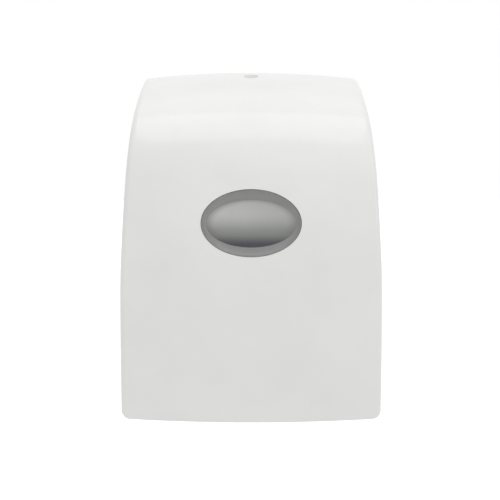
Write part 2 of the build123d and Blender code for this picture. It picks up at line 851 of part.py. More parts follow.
strike_screw_plane = Plane(
    origin=(
        (strike_left + strike_right) / 2,
        -plate_thickness - strike_thickness,
        strike_screw_z,
    ),
    z_dir=(0, -1, 0),
)
with BuildPart(strike_screw_plane) as strike_screw:
    add(screw(frame_screw_radius, strike_thickness, *arm_head))
strike_screw.part.label = "strike_screw"
export_step(strike_screw.part, "parts/strike_screw.step")

# ------------------------------------------------------------------------- side frames


def side_frame(side: int, holes: list) -> Part:
    """Upright frame plate with its rear flange; `side` is -1 for left and 1 for right.

    Each hole is a (centre, radius) pair.
    """
    profile = (
        (-plate_thickness, frame_foot),
        (tray_front_y, frame_foot),
        (tray_front_y, pinch_center[1] - pinch_radius),
        (frame_front_y, lever_pivot_z - lever_disc_radius / 2),
        (frame_front_y, frame_top),
        (-plate_thickness, frame_top),
    )
    with BuildPart() as frame:
        with BuildSketch(Plane.YZ.offset(side * frame_inside)) as face:
            Polygon(*profile, align=None)
            fillet(face.vertices().filter_by(lambda v: v.Y < -plate_thickness - 1), radius=8)
            for center, radius in holes:
                with Locations(center):
                    Circle(radius, mode=Mode.SUBTRACT)
        extrude(amount=side * frame_thickness)
        add(
            slab(
                (side * frame_outside, side * (frame_outside + frame_flange_width)),
                (-plate_thickness - frame_thickness, -plate_thickness),
                (frame_foot, frame_top),
            )
        )
        with BuildSketch(Plane.XZ.offset(plate_thickness)):
            for z in frame_screw_z:
                with Locations((side * (frame_outside + frame_flange_width / 2), z)):
                    Circle(frame_screw_radius)
        extrude(amount=frame_thickness, mode=Mode.SUBTRACT)
    return frame.part


bush_hole = (feed_center, bush_radius)
lever_pin_hole = (lever_pivot, lever_pin_radius)
pinch_pin_hole = (pinch_pivot, pinch_pin_radius)
idler_stud_radius = 3.5
spring_post = (-40.0, frame_top - 8.0)
spring_post_radius = 2.5

left_holes = [bush_hole, lever_pin_hole, pinch_pin_hole, (spring_post, spring_post_radius)]
with BuildPart() as left_side_frame:
    add(side_frame(-1, left_holes))
left_side_frame.part.label = "left_side_frame"
export_step(left_side_frame.part, "parts/left_side_frame.step")

right_holes = [bush_hole, lever_pin_hole, pinch_pin_hole, (idler_center, idler_stud_radius)]
with BuildPart() as right_side_frame:
    add(side_frame(1, right_holes))
right_side_frame.part.label = "right_side_frame"
export_step(right_side_frame.part, "parts/right_side_frame.step")

frame_screw = screw(frame_screw_radius, frame_thickness, *frame_head)
with BuildPart(Plane.XZ.offset(plate_thickness + frame_thickness)) as frame_screws:
    for side in (-1, 1):
        for z in frame_screw_z:
            with Locations((side * (frame_outside + frame_flange_width / 2), z)):
                add(frame_screw)
frame_screws.part.label = "frame_screws"
export_step(frame_screws.part, "parts/frame_screws.step")

# ------------------------------------------------------------- base tray, guides, tear bar

tray_z = (tray_foot, frame_foot)
with BuildPart() as base_tray:
    add(
        slab(
            (-tray_half_width, tray_half_width),
            (tray_front_y, -plate_thickness),
            tray_z,
        )
    )
    add(
        slab(
            (-guide_half_width, guide_half_width),
            (exit_front_y - guide_thickness - 1, exit_rear_y),
            (tray_z[0] - 1, tray_z[1] + 1),
        ),
        mode=Mode.SUBTRACT,
    )
    with BuildSketch(Plane.XY.offset(tray_z[0])):
        for x in tray_screw_x:
            with Locations((x, tray_screw_y)):
                Circle(tray_screw_radius)
    extrude(amount=tray_thickness, mode=Mode.SUBTRACT)
base_tray.part.label = "base_tray"
export_step(base_tray.part, "parts/base_tray.step")

with BuildPart(Plane.XY.offset(tray_z[1])) as tray_screws:
    for x in tray_screw_x:
        with Locations((x, tray_screw_y)):
            add(screw(tray_screw_radius, tray_thickness + ledge_thickness, *tray_head))
tray_screws.part.label = "tray_screws"
export_step(tray_screws.part, "parts/tray_screws.step")

guide_foot_depth = 14.0
guide_foot_y = exit_rear_y + guide_thickness + guide_foot_depth / 2
guide_screw_x = (-80.0, 80.0)
with BuildPart() as rear_paper_guide:
    guide_width = (-guide_half_width, guide_half_width)
    add(
        slab(guide_width, (exit_rear_y, exit_rear_y + guide_thickness), (frame_foot, rear_guide_top))
    )
    add(
        slab(
            guide_width,
            (exit_rear_y, exit_rear_y + guide_thickness + guide_foot_depth),
            (frame_foot, frame_foot + guide_thickness),
        )
    )
    with BuildSketch(Plane.XY.offset(frame_foot)):
        for x in guide_screw_x:
            with Locations((x, guide_foot_y)):
                Circle(guide_screw_radius)
    extrude(amount=guide_thickness, mode=Mode.SUBTRACT)
rear_paper_guide.part.label = "rear_paper_guide"
export_step(rear_paper_guide.part, "parts/rear_paper_guide.step")

with BuildPart(Plane.XY.offset(frame_foot + guide_thickness)) as guide_screws:
    for x in guide_screw_x:
        with Locations((x, guide_foot_y)):
            add(screw(guide_screw_radius, guide_thickness, *tray_head))
guide_screws.part.label = "guide_screws"
export_step(guide_screws.part, "parts/guide_screws.step")

front_guide_y = (exit_front_y - guide_thickness, exit_front_y)
bar_screw_x = (-90.0, -30.0, 30.0, 90.0)
bar_screw_z = tear_bar_z[1] - 5.0
bar_screw_radius = 1.5
with BuildPart() as front_paper_guide:
    add(slab((-frame_inside, frame_inside), front_guide_y, front_guide_z))
    for side in (-1, 1):
        add(
            slab(
                (side * (frame_inside - guide_thickness), side * frame_inside),
                (front_guide_y[0], exit_front_y + 8),
                front_guide_z,
            )
        )
    with BuildSketch(Plane.XZ.offset(-exit_front_y)):
        for x in bar_screw_x:
            with Locations((x, bar_screw_z)):
                Circle(bar_screw_radius)
    extrude(amount=guide_thickness, mode=Mode.SUBTRACT)
front_paper_guide.part.label = "front_paper_guide"
export_step(front_paper_guide.part, "parts/front_paper_guide.step")

tear_half_width = web_half_width + 4
tooth_count = round(2 * tear_half_width / tear_tooth_pitch)
tooth_width = 2 * tear_half_width / tooth_count
with BuildPart() as tear_bar:
    with BuildSketch(Plane.XZ.offset(-front_guide_y[0])):
        with Locations((0, (tear_bar_z[0] + tear_tooth_height + tear_bar_z[1]) / 2)):
            Rectangle(2 * tear_half_width, tear_bar_z[1] - tear_bar_z[0] - tear_tooth_height)
        for index in range(tooth_count):
            left = -tear_half_width + index * tooth_width
            shoulder_z = tear_bar_z[0] + tear_tooth_height
            Polygon(
                (left, shoulder_z + 0.5),
                (left, shoulder_z),
                (left + tooth_width / 2, tear_bar_z[0]),
                (left + tooth_width, shoulder_z),
                (left + tooth_width, shoulder_z + 0.5),
                align=None,
            )
        for x in bar_screw_x:
            with Locations((x, bar_screw_z)):
                Circle(bar_screw_radius, mode=Mode.SUBTRACT)
    extrude(amount=tear_bar_thickness)
tear_bar.part.label = "tear_bar"
export_step(tear_bar.part, "parts/tear_bar.step")

bar_screw_plane = Plane.XZ.offset(-front_guide_y[0] + tear_bar_thickness)
with BuildPart(bar_screw_plane) as tear_bar_screws:
    for x in bar_screw_x:
        with Locations((x, bar_screw_z)):
            add(screw(bar_screw_radius, tear_bar_thickness + guide_thickness, *small_head))
tear_bar_screws.part.label = "tear_bar_screws"
export_step(tear_bar_screws.part, "parts/tear_bar_screws.step")

# --------------------------------------------------------------- feed roller and its shaft

clip_thickness = 1.0
clip_gap = 0.5
shaft_right = gear_outside + clip_gap + clip_thickness + 2
shaft_left = -(knob_inside + knob_length)
shaft_rod = rod(feed_center, feed_shaft_radius, shaft_left, shaft_right)


def shaft_bush(side: int) -> Part:
    """Flanged bush that carries the feed shaft in one side frame."""
    with BuildPart() as bush:
        flange_start = side * (frame_inside - bush_flange_thickness)
        add(rod(feed_center, bush_radius, side * frame_inside, side * frame_outside))
        add(rod(feed_center, bush_flange_radius, flange_start, side * frame_inside))
        add(
            rod(feed_center, feed_shaft_radius + running_fit, flange_start, side * frame_outside),
            mode=Mode.SUBTRACT,
        )
    return bush.part


with BuildPart() as left_shaft_bush:
    add(shaft_bush(-1))
left_shaft_bush.part.label = "left_shaft_bush"
export_step(left_shaft_bush.part, "parts/left_shaft_bush.step")

with BuildPart() as right_shaft_bush:
    add(shaft_bush(1))
right_shaft_bush.part.label = "right_shaft_bush"
export_step(right_shaft_bush.part, "parts/right_shaft_bush.step")

with BuildPart() as feed_shaft:
    add(shaft_rod)
feed_shaft.part.label = "feed_shaft"
export_step(feed_shaft.part, "parts/feed_shaft.step")

core_end_wall = 6.0
with BuildPart() as feed_roller_core:
    add(rod(feed_center, feed_core_radius, -feed_core_half_width, feed_core_half_width))
    core_hollow = feed_core_half_width - core_end_wall
    add(rod(feed_center, feed_core_bore, -core_hollow, core_hollow), mode=Mode.SUBTRACT)
    add(shaft_rod, mode=Mode.SUBTRACT)
feed_roller_core.part.label = "feed_roller_core"
export_step(feed_roller_core.part, "parts/feed_roller_core.step")

with BuildPart() as feed_roller_sleeves:
    for x in sleeve_centers:
        sleeve_ends = (x - sleeve_width / 2, x + sleeve_width / 2)
        add(rod(feed_center, feed_radius, *sleeve_ends))
        add(rod(feed_center, feed_core_radius, *sleeve_ends), mode=Mode.SUBTRACT)
feed_roller_sleeves.part.label = "feed_roller_sleeves"
export_step(feed_roller_sleeves.part, "parts/feed_roller_sleeves.step")

flute_radius = 3.5
with BuildPart() as feed_knob:
    add(rod(feed_center, knob_radius, -knob_inside, -knob_inside - knob_length))
    with BuildSketch(axle_plane(feed_center, -knob_inside - knob_length)):
        with PolarLocations(knob_radius + flute_radius / 2, knob_flutes):
            Circle(flute_radius)
    extrude(amount=knob_length, mode=Mode.SUBTRACT)
    add(shaft_rod, mode=Mode.SUBTRACT)
feed_knob.part.label = "feed_knob"
export_step(feed_knob.part, "parts/feed_knob.step")

shaft_clip_radius = 7.0
with BuildPart() as shaft_clips:
    clip_starts = (gear_outside + clip_gap, -frame_outside - clip_gap - clip_thickness)
    for x in clip_starts:
        add(rod(feed_center, shaft_clip_radius, x, x + clip_thickness))
    add(shaft_rod, mode=Mode.SUBTRACT)
shaft_clips.part.label = "shaft_clips"
export_step(shaft_clips.part, "parts/shaft_clips.step")

# ----------------------------------------------------------------------- gears and lever

hub_start = frame_outside + clip_gap
hub_radius = clutch_radius + pinion_hub_wall
with BuildPart() as clutch_pinion:
    with BuildSketch(axle_plane(feed_center, gear_inside)):
        add(toothed_wheel(pinion_teeth, pinion_angle))
    extrude(amount=gear_face)
    add(rod(feed_center, hub_radius, hub_start, gear_inside))
    add(rod(feed_center, clutch_radius, hub_start, gear_outside), mode=Mode.SUBTRACT)
clutch_pinion.part.label = "clutch_pinion"
export_step(clutch_pinion.part, "parts/clutch_pinion.step")

with BuildPart() as one_way_clutch:
    add(rod(feed_center, clutch_radius, hub_start, gear_outside))
    add(
        rod(feed_center, feed_shaft_radius + running_fit, hub_start, gear_outside),
        mode=Mode.SUBTRACT,
    )
one_way_clutch.part.label = "one_way_clutch"
export_step(one_way_clutch.part, "parts/one_way_clutch.step")

idler_hub_radius = 6.5
with BuildPart() as idler_gear:
    with BuildSketch(axle_plane(idler_center, gear_inside)):
        add(toothed_wheel(idler_teeth, idler_angle))
    extrude(amount=gear_face)
    add(rod(idler_center, idler_hub_radius, hub_start, gear_inside))
    add(
        rod(idler_center, idler_stud_radius + running_fit, hub_start, gear_outside),
        mode=Mode.SUBTRACT,
    )
idler_gear.part.label = "idler_gear"
export_step(idler_gear.part, "parts/idler_gear.step")

stud_end = gear_outside + clip_gap + clip_thickness + 1
stud_rod = rod(idler_center, idler_stud_radius, frame_inside, stud_end)
with BuildPart() as idler_stud:
    add(stud_rod)
    add(rod(idler_center, 1.7 * idler_stud_radius, frame_inside - 2, frame_inside))
idler_stud.part.label = "idler_stud"
export_step(idler_stud.part, "parts/idler_stud.step")

with BuildPart() as idler_clip:
    clip_start = gear_outside + clip_gap
    add(rod(idler_center, 6.0, clip_start, clip_start + clip_thickness))
    add(stud_rod, mode=Mode.SUBTRACT)
idler_clip.part.label = "idler_clip"
export_step(idler_clip.part, "parts/idler_clip.step")

pin_ends = {-1: lever_arm_outside, 1: gear_outside}
lever_pin_rods = {}
for side in (-1, 1):
    pin_length_end = side * (pin_ends[side] + clip_gap + clip_thickness + 1)
    lever_pin_rods[side] = rod(lever_pivot, lever_pin_radius, side * frame_inside, pin_length_end)

with BuildPart() as lever_pivot_pins:
    for side in (-1, 1):
        add(lever_pin_rods[side])
        add(rod(lever_pivot, 6.5, side * (frame_inside - 2), side * frame_inside))
lever_pivot_pins.part.label = "lever_pivot_pins"
export_step(lever_pivot_pins.part, "parts/lever_pivot_pins.step")

with BuildPart() as lever_pin_clips:
    for side in (-1, 1):
        clip_start = pin_ends[side] + clip_gap
        add(rod(lever_pivot, 7.0, side * clip_start, side * (clip_start + clip_thickness)))
        add(lever_pin_rods[side], mode=Mode.SUBTRACT)
lever_pin_clips.part.label = "lever_pin_clips"
export_step(lever_pin_clips.part, "parts/lever_pin_clips.step")

sector_screw_reach = 14.0
sector_screw_points = [
    (
        lever_pivot_y + sector_screw_reach * cos_deg(angle),
        lever_pivot_z + sector_screw_reach * sin_deg(angle),
    )
    for angle in (75, 255)
]
sector_screw_radius = 1.5
spring_lug = (lever_pivot_y + 8.0, lever_pivot_z + 25.0)
spring_hole_radius = 1.4
bar_front_y = lever_bar_y - lever_bar_depth / 2
bar_rear_y = lever_bar_y + lever_bar_depth / 2
arm_shoulder = 8.0
with BuildPart() as feed_lever:
    for side in (-1, 1):
        with BuildSketch(Plane.YZ.offset(side * lever_arm_inside)):
            Polygon(
                (lever_pivot_y - arm_shoulder, lever_pivot_z),
                (bar_front_y, lever_bar_z[1]),
                (bar_front_y, lever_bar_z[0]),
                (bar_rear_y, lever_bar_z[0]),
                (bar_rear_y, lever_bar_z[1]),
                (lever_pivot_y + arm_shoulder, lever_pivot_z),
                align=None,
            )
            with Locations(lever_pivot):
                Circle(lever_disc_radius)
        extrude(amount=side * lever_arm_thickness)
    add(
        slab(
            (-lever_arm_outside, lever_arm_outside),
            (bar_front_y, bar_rear_y),
            lever_bar_z,
        )
    )
    paddle_y = (bar_front_y, bar_front_y + paddle_thickness)
    paddle_sides = (-paddle_half_width, paddle_half_width)
    add(slab(paddle_sides, paddle_y, (paddle_foot, lever_bar_z[0])))
    fillet(
        feed_lever.edges().filter_by(Axis.Y).group_by(Axis.Z)[0],
        radius=8.0,
    )
    add(link([spring_lug, lever_pivot], 4.5, -lever_arm_inside, -lever_arm_outside))
    for side in (-1, 1):
        add(
            rod(
                lever_pivot,
                lever_pin_radius + running_fit,
                side * (lever_arm_inside - 1),
                side * (lever_arm_outside + 1),
            ),
            mode=Mode.SUBTRACT,
        )
    add(
        rod(spring_lug, spring_hole_radius, -lever_arm_inside, -lever_arm_outside),
        mode=Mode.SUBTRACT,
    )
    for center in sector_screw_points:
        add(
            rod(center, sector_screw_radius, lever_arm_inside, lever_arm_outside),
            mode=Mode.SUBTRACT,
        )
feed_lever.part.label = "feed_lever"
export_step(feed_lever.part, "parts/feed_lever.step")

pad_margin = 4.0                # paddle face round the rubber pad
pad_corner_radius = 6.0
pad_edge_radius = 1.2
pad_foot_z = paddle_foot + pad_margin - 1
pad_top_z = lever_bar_z[1] - pad_margin
with BuildPart() as lever_pad:
    with BuildSketch(Plane.XZ.offset(-bar_front_y)):
        with Locations((0, (pad_foot_z + pad_top_z) / 2)):
            pad_width = 2 * (paddle_half_width - pad_margin)
            RectangleRounded(pad_width, pad_top_z - pad_foot_z, pad_corner_radius)
    extrude(amount=paddle_pad_thickness)
    fillet(lever_pad.edges().group_by(Axis.Y)[0], radius=pad_edge_radius)
lever_pad.part.label = "lever_pad"
export_step(lever_pad.part, "parts/lever_pad.step")

sector_pitch = 360 / sector_teeth
sector_tooth_range = (-8, 4)    # teeth cut either side of the rest mesh
sector_windows = ((32.0, 5.0), (47.0, 7.0))     # lightening holes: reach and radius
sector_tooth_angles = [sector_angle + index * sector_pitch for index in range(*sector_tooth_range)]
sector_fan_radius = gear_module * (sector_teeth / 2 - gear_dedendum)
fan_start = sector_tooth_angles[0] - sector_pitch / 2
fan_sweep = len(sector_tooth_angles) * sector_pitch
sector_tooth = gear_tooth(sector_teeth)
with BuildPart() as lever_sector_gear:
    with BuildSketch(axle_plane(lever_pivot, gear_inside)):
        with BuildLine():
            rim = CenterArc((0, 0), sector_fan_radius, fan_start, fan_sweep)
            Polyline(rim @ 1, (0, 0), rim @ 0)
        make_face()
        for angle in sector_tooth_angles:
            add(sector_tooth, rotation=angle)
        Circle(lever_disc_radius)
        with Locations((0, 0)):
            Circle(lever_pin_radius + running_fit, mode=Mode.SUBTRACT)
    extrude(amount=gear_face)
    fan_middle = radians(fan_start + fan_sweep / 2)
    for reach, hole in sector_windows:
        window = (
            lever_pivot_y + reach * cos(fan_middle),
            lever_pivot_z + reach * sin(fan_middle),
        )
        add(rod(window, hole, gear_inside, gear_outside), mode=Mode.SUBTRACT)
    for center in sector_screw_points:
        add(rod(center, sector_screw_radius, gear_inside, gear_outside), mode=Mode.SUBTRACT)
lever_sector_gear.part.label = "lever_sector_gear"
export_step(lever_sector_gear.part, "parts/lever_sector_gear.step")

sector_screw = screw(sector_screw_radius, gear_face + lever_arm_thickness, *small_head)
with BuildPart(Plane.YZ.offset(gear_outside)) as sector_screws:
    with Locations(*sector_screw_points):
        add(sector_screw)
sector_screws.part.label = "sector_screws"
export_step(sector_screws.part, "parts/sector_screws.step")

# --------------------------------------------------------------- lever spring and its post

spring_x = -(lever_arm_inside + lever_arm_thickness / 2)
wire_radius = 0.6
spring_radius = 3.4
eye_radius = 3.4
with BuildPart() as lever_spring_post:
    post_end = spring_x - 4
    add(rod(spring_post, spring_post_radius, -frame_inside, post_end))
    add(rod(spring_post, spring_post_radius + 1.5, post_end, post_end - 1.5))
lever_spring_post.part.label = "lever_spring_post"
export_step(lever_spring_post.part, "parts/lever_spring_post.step")

spring_run = (spring_post[0] - spring_lug[0], spring_post[1] - spring_lug[1])
spring_span = hypot(*spring_run)
spring_dir = (0, spring_run[0] / spring_span, spring_run[1] / spring_span)
spring_margin = 13.0
spring_turns = 22
spring_body = spring_span - 2 * spring_margin


def along_spring(distance: float) -> tuple:
    """Point on the spring's middle line, measured from the lever's lug."""
    return (
        spring_x,
        spring_lug[0] + spring_dir[1] * distance,
        spring_lug[1] + spring_dir[2] * distance,
    )


eye_overlap = 0.3
with BuildPart() as lever_spring:
    add(
        coil(
            along_spring(spring_margin),
            spring_dir,
            spring_radius,
            wire_radius,
            spring_body / spring_turns,
            spring_turns,
        )
    )
    lug_eye_center = along_spring(eye_radius)
    with Locations(Plane(origin=lug_eye_center, z_dir=(0, -spring_dir[2], spring_dir[1]))):
        Torus(eye_radius, wire_radius)
    with Locations(Plane(origin=along_spring(spring_span), z_dir=(1, 0, 0))):
        Torus(eye_radius, wire_radius)
    for start, end in (
        (2 * eye_radius - eye_overlap, spring_margin),
        (spring_span - spring_margin, spring_span - eye_radius + eye_overlap),
    ):
        with BuildSketch(Plane(origin=along_spring(start), z_dir=spring_dir)):
            Circle(wire_radius)
        extrude(amount=end - start)
lever_spring.part.label = "lever_spring"
export_step(lever_spring.part, "parts/lever_spring.step")

# ------------------------------------------------------------------------ pinch rollers

pinch_plate_outside = pinch_plate_inside + pinch_plate_thickness
pinch_bar_y = (pinch_pivot_y - 9.0, pinch_pivot_y - 5.5)
pinch_bar_z = (pinch_pivot[1] - 20.0, pinch_pivot[1] - 4.0)
with BuildPart() as pinch_frame:
    for side in (-1, 1):
        plate_ends = (side * pinch_plate_inside, side * pinch_plate_outside)
        add(link([pinch_pivot, pinch_center], pinch_plate_radius, *plate_ends))
    add(slab((-pinch_plate_outside, pinch_plate_outside), pinch_bar_y, pinch_bar_z))
    for side in (-1, 1):
        hole_ends = (side * (pinch_plate_inside - 1), side * (pinch_plate_outside + 1))
        add(
            rod(pinch_pivot, pinch_pin_radius + running_fit, *hole_ends),
            mode=Mode.SUBTRACT,
        )
        add(
            rod(pinch_center, pinch_axle_radius + running_fit, *hole_ends),
            mode=Mode.SUBTRACT,
        )
pinch_frame.part.label = "pinch_frame"
export_step(pinch_frame.part, "parts/pinch_frame.step")

axle_overhang = 1.0
pinch_axle_rod = rod(
    pinch_center,
    pinch_axle_radius,
    -pinch_plate_outside - axle_overhang,
    pinch_plate_outside + axle_overhang,
)
with BuildPart() as pinch_axle:
    add(pinch_axle_rod)
pinch_axle.part.label = "pinch_axle"
export_step(pinch_axle.part, "parts/pinch_axle.step")

with BuildPart() as pinch_rollers:
    for x in sleeve_centers:
        add(rod(pinch_center, pinch_radius, x - sleeve_width / 2, x + sleeve_width / 2))
    add(pinch_axle_rod, mode=Mode.SUBTRACT)
pinch_rollers.part.label = "pinch_rollers"
export_step(pinch_rollers.part, "parts/pinch_rollers.step")

pin_head = 1.5
with BuildPart() as pinch_pivot_pins:
    for side in (-1, 1):
        pin_start = side * (pinch_plate_inside - 1)
        add(rod(pinch_pivot, pinch_pin_radius, pin_start, side * frame_outside))
        head_ends = (side * frame_outside, side * (frame_outside + pin_head))
        add(rod(pinch_pivot, pinch_pin_radius + 2, *head_ends))
pinch_pivot_pins.part.label = "pinch_pivot_pins"
export_step(pinch_pivot_pins.part, "parts/pinch_pivot_pins.step")

pinch_coil_radius = 4.2
pinch_wire = 0.45
pinch_turns = 3
pinch_coil_gap = 0.4
with BuildPart() as pinch_springs:
    for side in (-1, 1):
        coil_room = frame_inside - pinch_plate_outside - 2 * (pinch_coil_gap + pinch_wire)
        coil_start = side * (pinch_plate_outside + pinch_coil_gap + pinch_wire)
        add(
            coil(
                (coil_start, *pinch_pivot),
                (side, 0, 0),
                pinch_coil_radius,
                pinch_wire,
                coil_room / pinch_turns,
                pinch_turns,
            )
        )
pinch_springs.part.label = "pinch_springs"
export_step(pinch_springs.part, "parts/pinch_springs.step")

# -------------------------------------------------------------- towel roll, core and hubs

with BuildPart() as towel_roll:
    add(rod(roll_center, roll_radius, -roll_half_width, roll_half_width))
    add(rod(roll_center, core_outer_radius, -roll_half_width, roll_half_width), mode=Mode.SUBTRACT)
towel_roll.part.label = "towel_roll"
export_step(towel_roll.part, "parts/towel_roll.step")

with BuildPart() as roll_core:
    add(rod(roll_center, core_outer_radius, -roll_half_width, roll_half_width))
    add(rod(roll_center, core_inner_radius, -roll_half_width, roll_half_width), mode=Mode.SUBTRACT)
roll_core.part.label = "roll_core"
export_step(roll_core.part, "parts/roll_core.step")


def cone(center: tuple, start: float, end: float, start_radius: float, end_radius: float) -> Part:
    """Cone along X about a (y, z) centre, between two values of x."""
    with BuildPart() as taper:
        for x, radius in ((start, start_radius), (end, end_radius)):
            with BuildSketch(Plane.YZ.offset(x)):
                with Locations(center):
                    Circle(radius)
        loft()
    return taper.part


def core_hub(side: int) -> Part:
    """Flanged hub in one end of the roll's core, with a tapered socket for the arm's cone."""
    spigot_radius = core_inner_radius - hub_fit
    flange_start = roll_half_width + hub_flange_gap
    spigot_end = roll_half_width - hub_spigot_length
    socket_end = arm_inside - arm_cone_length - arm_cone_gap
    with BuildPart() as hub:
        flange_ends = (side * flange_start, side * hub_flange_outside)
        add(rod(roll_center, hub_flange_radius, *flange_ends))
        add(rod(roll_center, spigot_radius - 4, side * hub_flange_outside, side * hub_outside))
        add(
            cone(
                roll_center,
                side * flange_start,
                side * spigot_end,
                spigot_radius,
                spigot_radius - 2,
            )
        )
        add(
            cone(
                roll_center,
                side * arm_inside,
                side * socket_end,
                arm_cone_base_radius + arm_cone_gap,
                arm_cone_tip_radius + arm_cone_gap,
            ),
            mode=Mode.SUBTRACT,
        )
    return hub.part


with BuildPart() as left_core_hub:
    add(core_hub(-1))
left_core_hub.part.label = "left_core_hub"
export_step(left_core_hub.part, "parts/left_core_hub.step")

with BuildPart() as right_core_hub:
    add(core_hub(1))
right_core_hub.part.label = "right_core_hub"
export_step(right_core_hub.part, "parts/right_core_hub.step")

# ----------------------------------------------------------------------------- roll arms

arm_flange_depth = 3.0
arm_flange_inside = 84.0
arm_screw_x = 93.0
arm_screw_z = (roll_z - arm_root_height / 2 + 10, roll_z + arm_root_height / 2 - 10)
arm_tip_reach = 8.0


def roll_arm(side: int, root_y: float) -> Part:
    """Arm plate from `root_y` forward to the roll's middle, with the cone that holds the hub."""
    with BuildPart() as arm:
        with BuildSketch(Plane.YZ.offset(side * arm_inside)):
            with Locations(roll_center):
                Circle(arm_end_radius)
            with Locations((root_y - arm_tip_reach / 2, roll_z)):
                Rectangle(arm_tip_reach, arm_root_height)
            make_hull()
        extrude(amount=side * arm_thickness)
        add(
            cone(
                roll_center,
                side * arm_inside,
                side * (arm_inside - arm_cone_length),
                arm_cone_base_radius,
                arm_cone_tip_radius,
            )
        )
    return arm.part


with BuildPart() as left_roll_arm:
    add(roll_arm(-1, -plate_thickness - arm_flange_depth))
    add(
        slab(
            (-arm_outside, -arm_flange_inside),
            (-plate_thickness - arm_flange_depth, -plate_thickness),
            (roll_z - arm_root_height / 2, roll_z + arm_root_height / 2),
        )
    )
    with BuildSketch(Plane.XZ.offset(plate_thickness)):
        for z in arm_screw_z:
            with Locations((-arm_screw_x, z)):
                Circle(frame_screw_radius)
    extrude(amount=arm_flange_depth, mode=Mode.SUBTRACT)
left_roll_arm.part.label = "left_roll_arm"
export_step(left_roll_arm.part, "parts/left_roll_arm.step")

arm_pivot = (arm_middle, arm_pivot_y)
knuckle_gap = 0.4
knuckle_z = (roll_z - arm_knuckle_length / 2, roll_z + arm_knuckle_length / 2)
with BuildPart() as right_roll_arm:
    add(roll_arm(1, arm_pivot_y - arm_knuckle_radius - 1))
    with BuildSketch(Plane.XY.offset(knuckle_z[0])):
        with Locations(arm_pivot):
            Circle(arm_knuckle_radius)
        with Locations((arm_middle, arm_pivot_y - arm_knuckle_radius)):
            Rectangle(arm_thickness, 2 * arm_knuckle_radius)
    extrude(amount=arm_knuckle_length)
    with BuildSketch(Plane.XY.offset(knuckle_z[0])):
        with Locations(arm_pivot):
            Circle(arm_pivot_radius + running_fit)
    extrude(amount=arm_knuckle_length, mode=Mode.SUBTRACT)
right_roll_arm.part.label = "right_roll_arm"
export_step(right_roll_arm.part, "parts/right_roll_arm.step")

bracket_lug_height = 6.0
with BuildPart() as right_arm_bracket:
    add(
        slab(
            (arm_flange_inside, arm_outside + 6),
            (-plate_thickness - arm_flange_depth, -plate_thickness),
            (roll_z - arm_root_height / 2, roll_z + arm_root_height / 2),
        )
    )
    lug_starts = (
        knuckle_z[0] - knuckle_gap - bracket_lug_height,
        knuckle_z[1] + knuckle_gap,
    )
    for z in lug_starts:
        with BuildSketch(Plane.XY.offset(z)):
            with Locations(arm_pivot):
                Circle(arm_knuckle_radius)
            lug_middle_y = (arm_pivot_y - plate_thickness) / 2
            with Locations((arm_middle, lug_middle_y)):
                Rectangle(2 * arm_knuckle_radius, lug_middle_y - arm_pivot_y + 4)
            with Locations(arm_pivot):
                Circle(arm_pivot_radius, mode=Mode.SUBTRACT)
        extrude(amount=bracket_lug_height)
    with BuildSketch(Plane.XZ.offset(plate_thickness)):
        for z in arm_screw_z:
            with Locations((arm_screw_x, z)):
                Circle(frame_screw_radius)
    extrude(amount=arm_flange_depth, mode=Mode.SUBTRACT)
right_arm_bracket.part.label = "right_arm_bracket"
export_step(right_arm_bracket.part, "parts/right_arm_bracket.step")

pin_margin = 1.5
with BuildPart() as arm_pivot_pin:
    pin_foot = lug_starts[0] - pin_margin
    pin_top = lug_starts[1] + bracket_lug_height
    with BuildSketch(Plane.XY.offset(pin_foot)):
        with Locations(arm_pivot):
            Circle(arm_pivot_radius)
    extrude(amount=pin_top - pin_foot)
    with BuildSketch(Plane.XY.offset(pin_top)):
        with Locations(arm_pivot):
            Circle(2 * arm_pivot_radius)
    extrude(amount=pin_margin)
arm_pivot_pin.part.label = "arm_pivot_pin"
export_step(arm_pivot_pin.part, "parts/arm_pivot_pin.step")

with BuildPart(Plane.XZ.offset(plate_thickness + arm_flange_depth)) as arm_screws:
    for x in (-arm_screw_x, arm_screw_x):
        for z in arm_screw_z:
            with Locations((x, z)):
                add(screw(frame_screw_radius, arm_flange_depth, *arm_head))
arm_screws.part.label = "arm_screws"
export_step(arm_screws.part, "parts/arm_screws.step")

# ------------------------------------------------------------------------ threaded towel


def tangent_points(roll_reach: float, feed_reach: float) -> tuple:
    """Ends of the run from the back of the roll to the front of the feed roller."""
    span = hypot(feed_y - roll_y, feed_z - roll_z)
    heading = bearing(roll_center, feed_center)
    reach = roll_reach + feed_reach
    turn = degrees(atan2(sqrt(span**2 - reach**2), reach))
    normal = heading + turn
    leave = (roll_y + roll_reach * cos_deg(normal), roll_z + roll_reach * sin_deg(normal))
    arrive = (feed_y - feed_reach * cos_deg(normal), feed_z - feed_reach * sin_deg(normal))
    return leave, arrive, normal


web_leave, web_arrive, web_normal = tangent_points(
    roll_radius + web_middle, feed_radius + web_middle
)
with BuildPart() as towel_web:
    with BuildSketch(Plane.YZ):
        with BuildLine():
            Line(web_leave, web_arrive)
            CenterArc(
                feed_center,
                feed_radius + web_middle,
                web_normal + 180,
                -web_normal,
            )
            Line((web_front_y, feed_z), (web_front_y, web_end_z))
        trace(line_width=web_thickness)
    extrude(amount=web_half_width, both=True)
towel_web.part.label = "towel_web"
export_step(towel_web.part, "parts/towel_web.step")
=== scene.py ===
"""Lever paper towel dispenser: its finishes, smoked window, paper, studio and camera."""

import logging
import math
import random
from abc import ABC, abstractmethod
from dataclasses import dataclass, field, replace
from enum import Enum
from typing import Iterable, NamedTuple

import bmesh
import bpy
from mathutils import Matrix, Vector


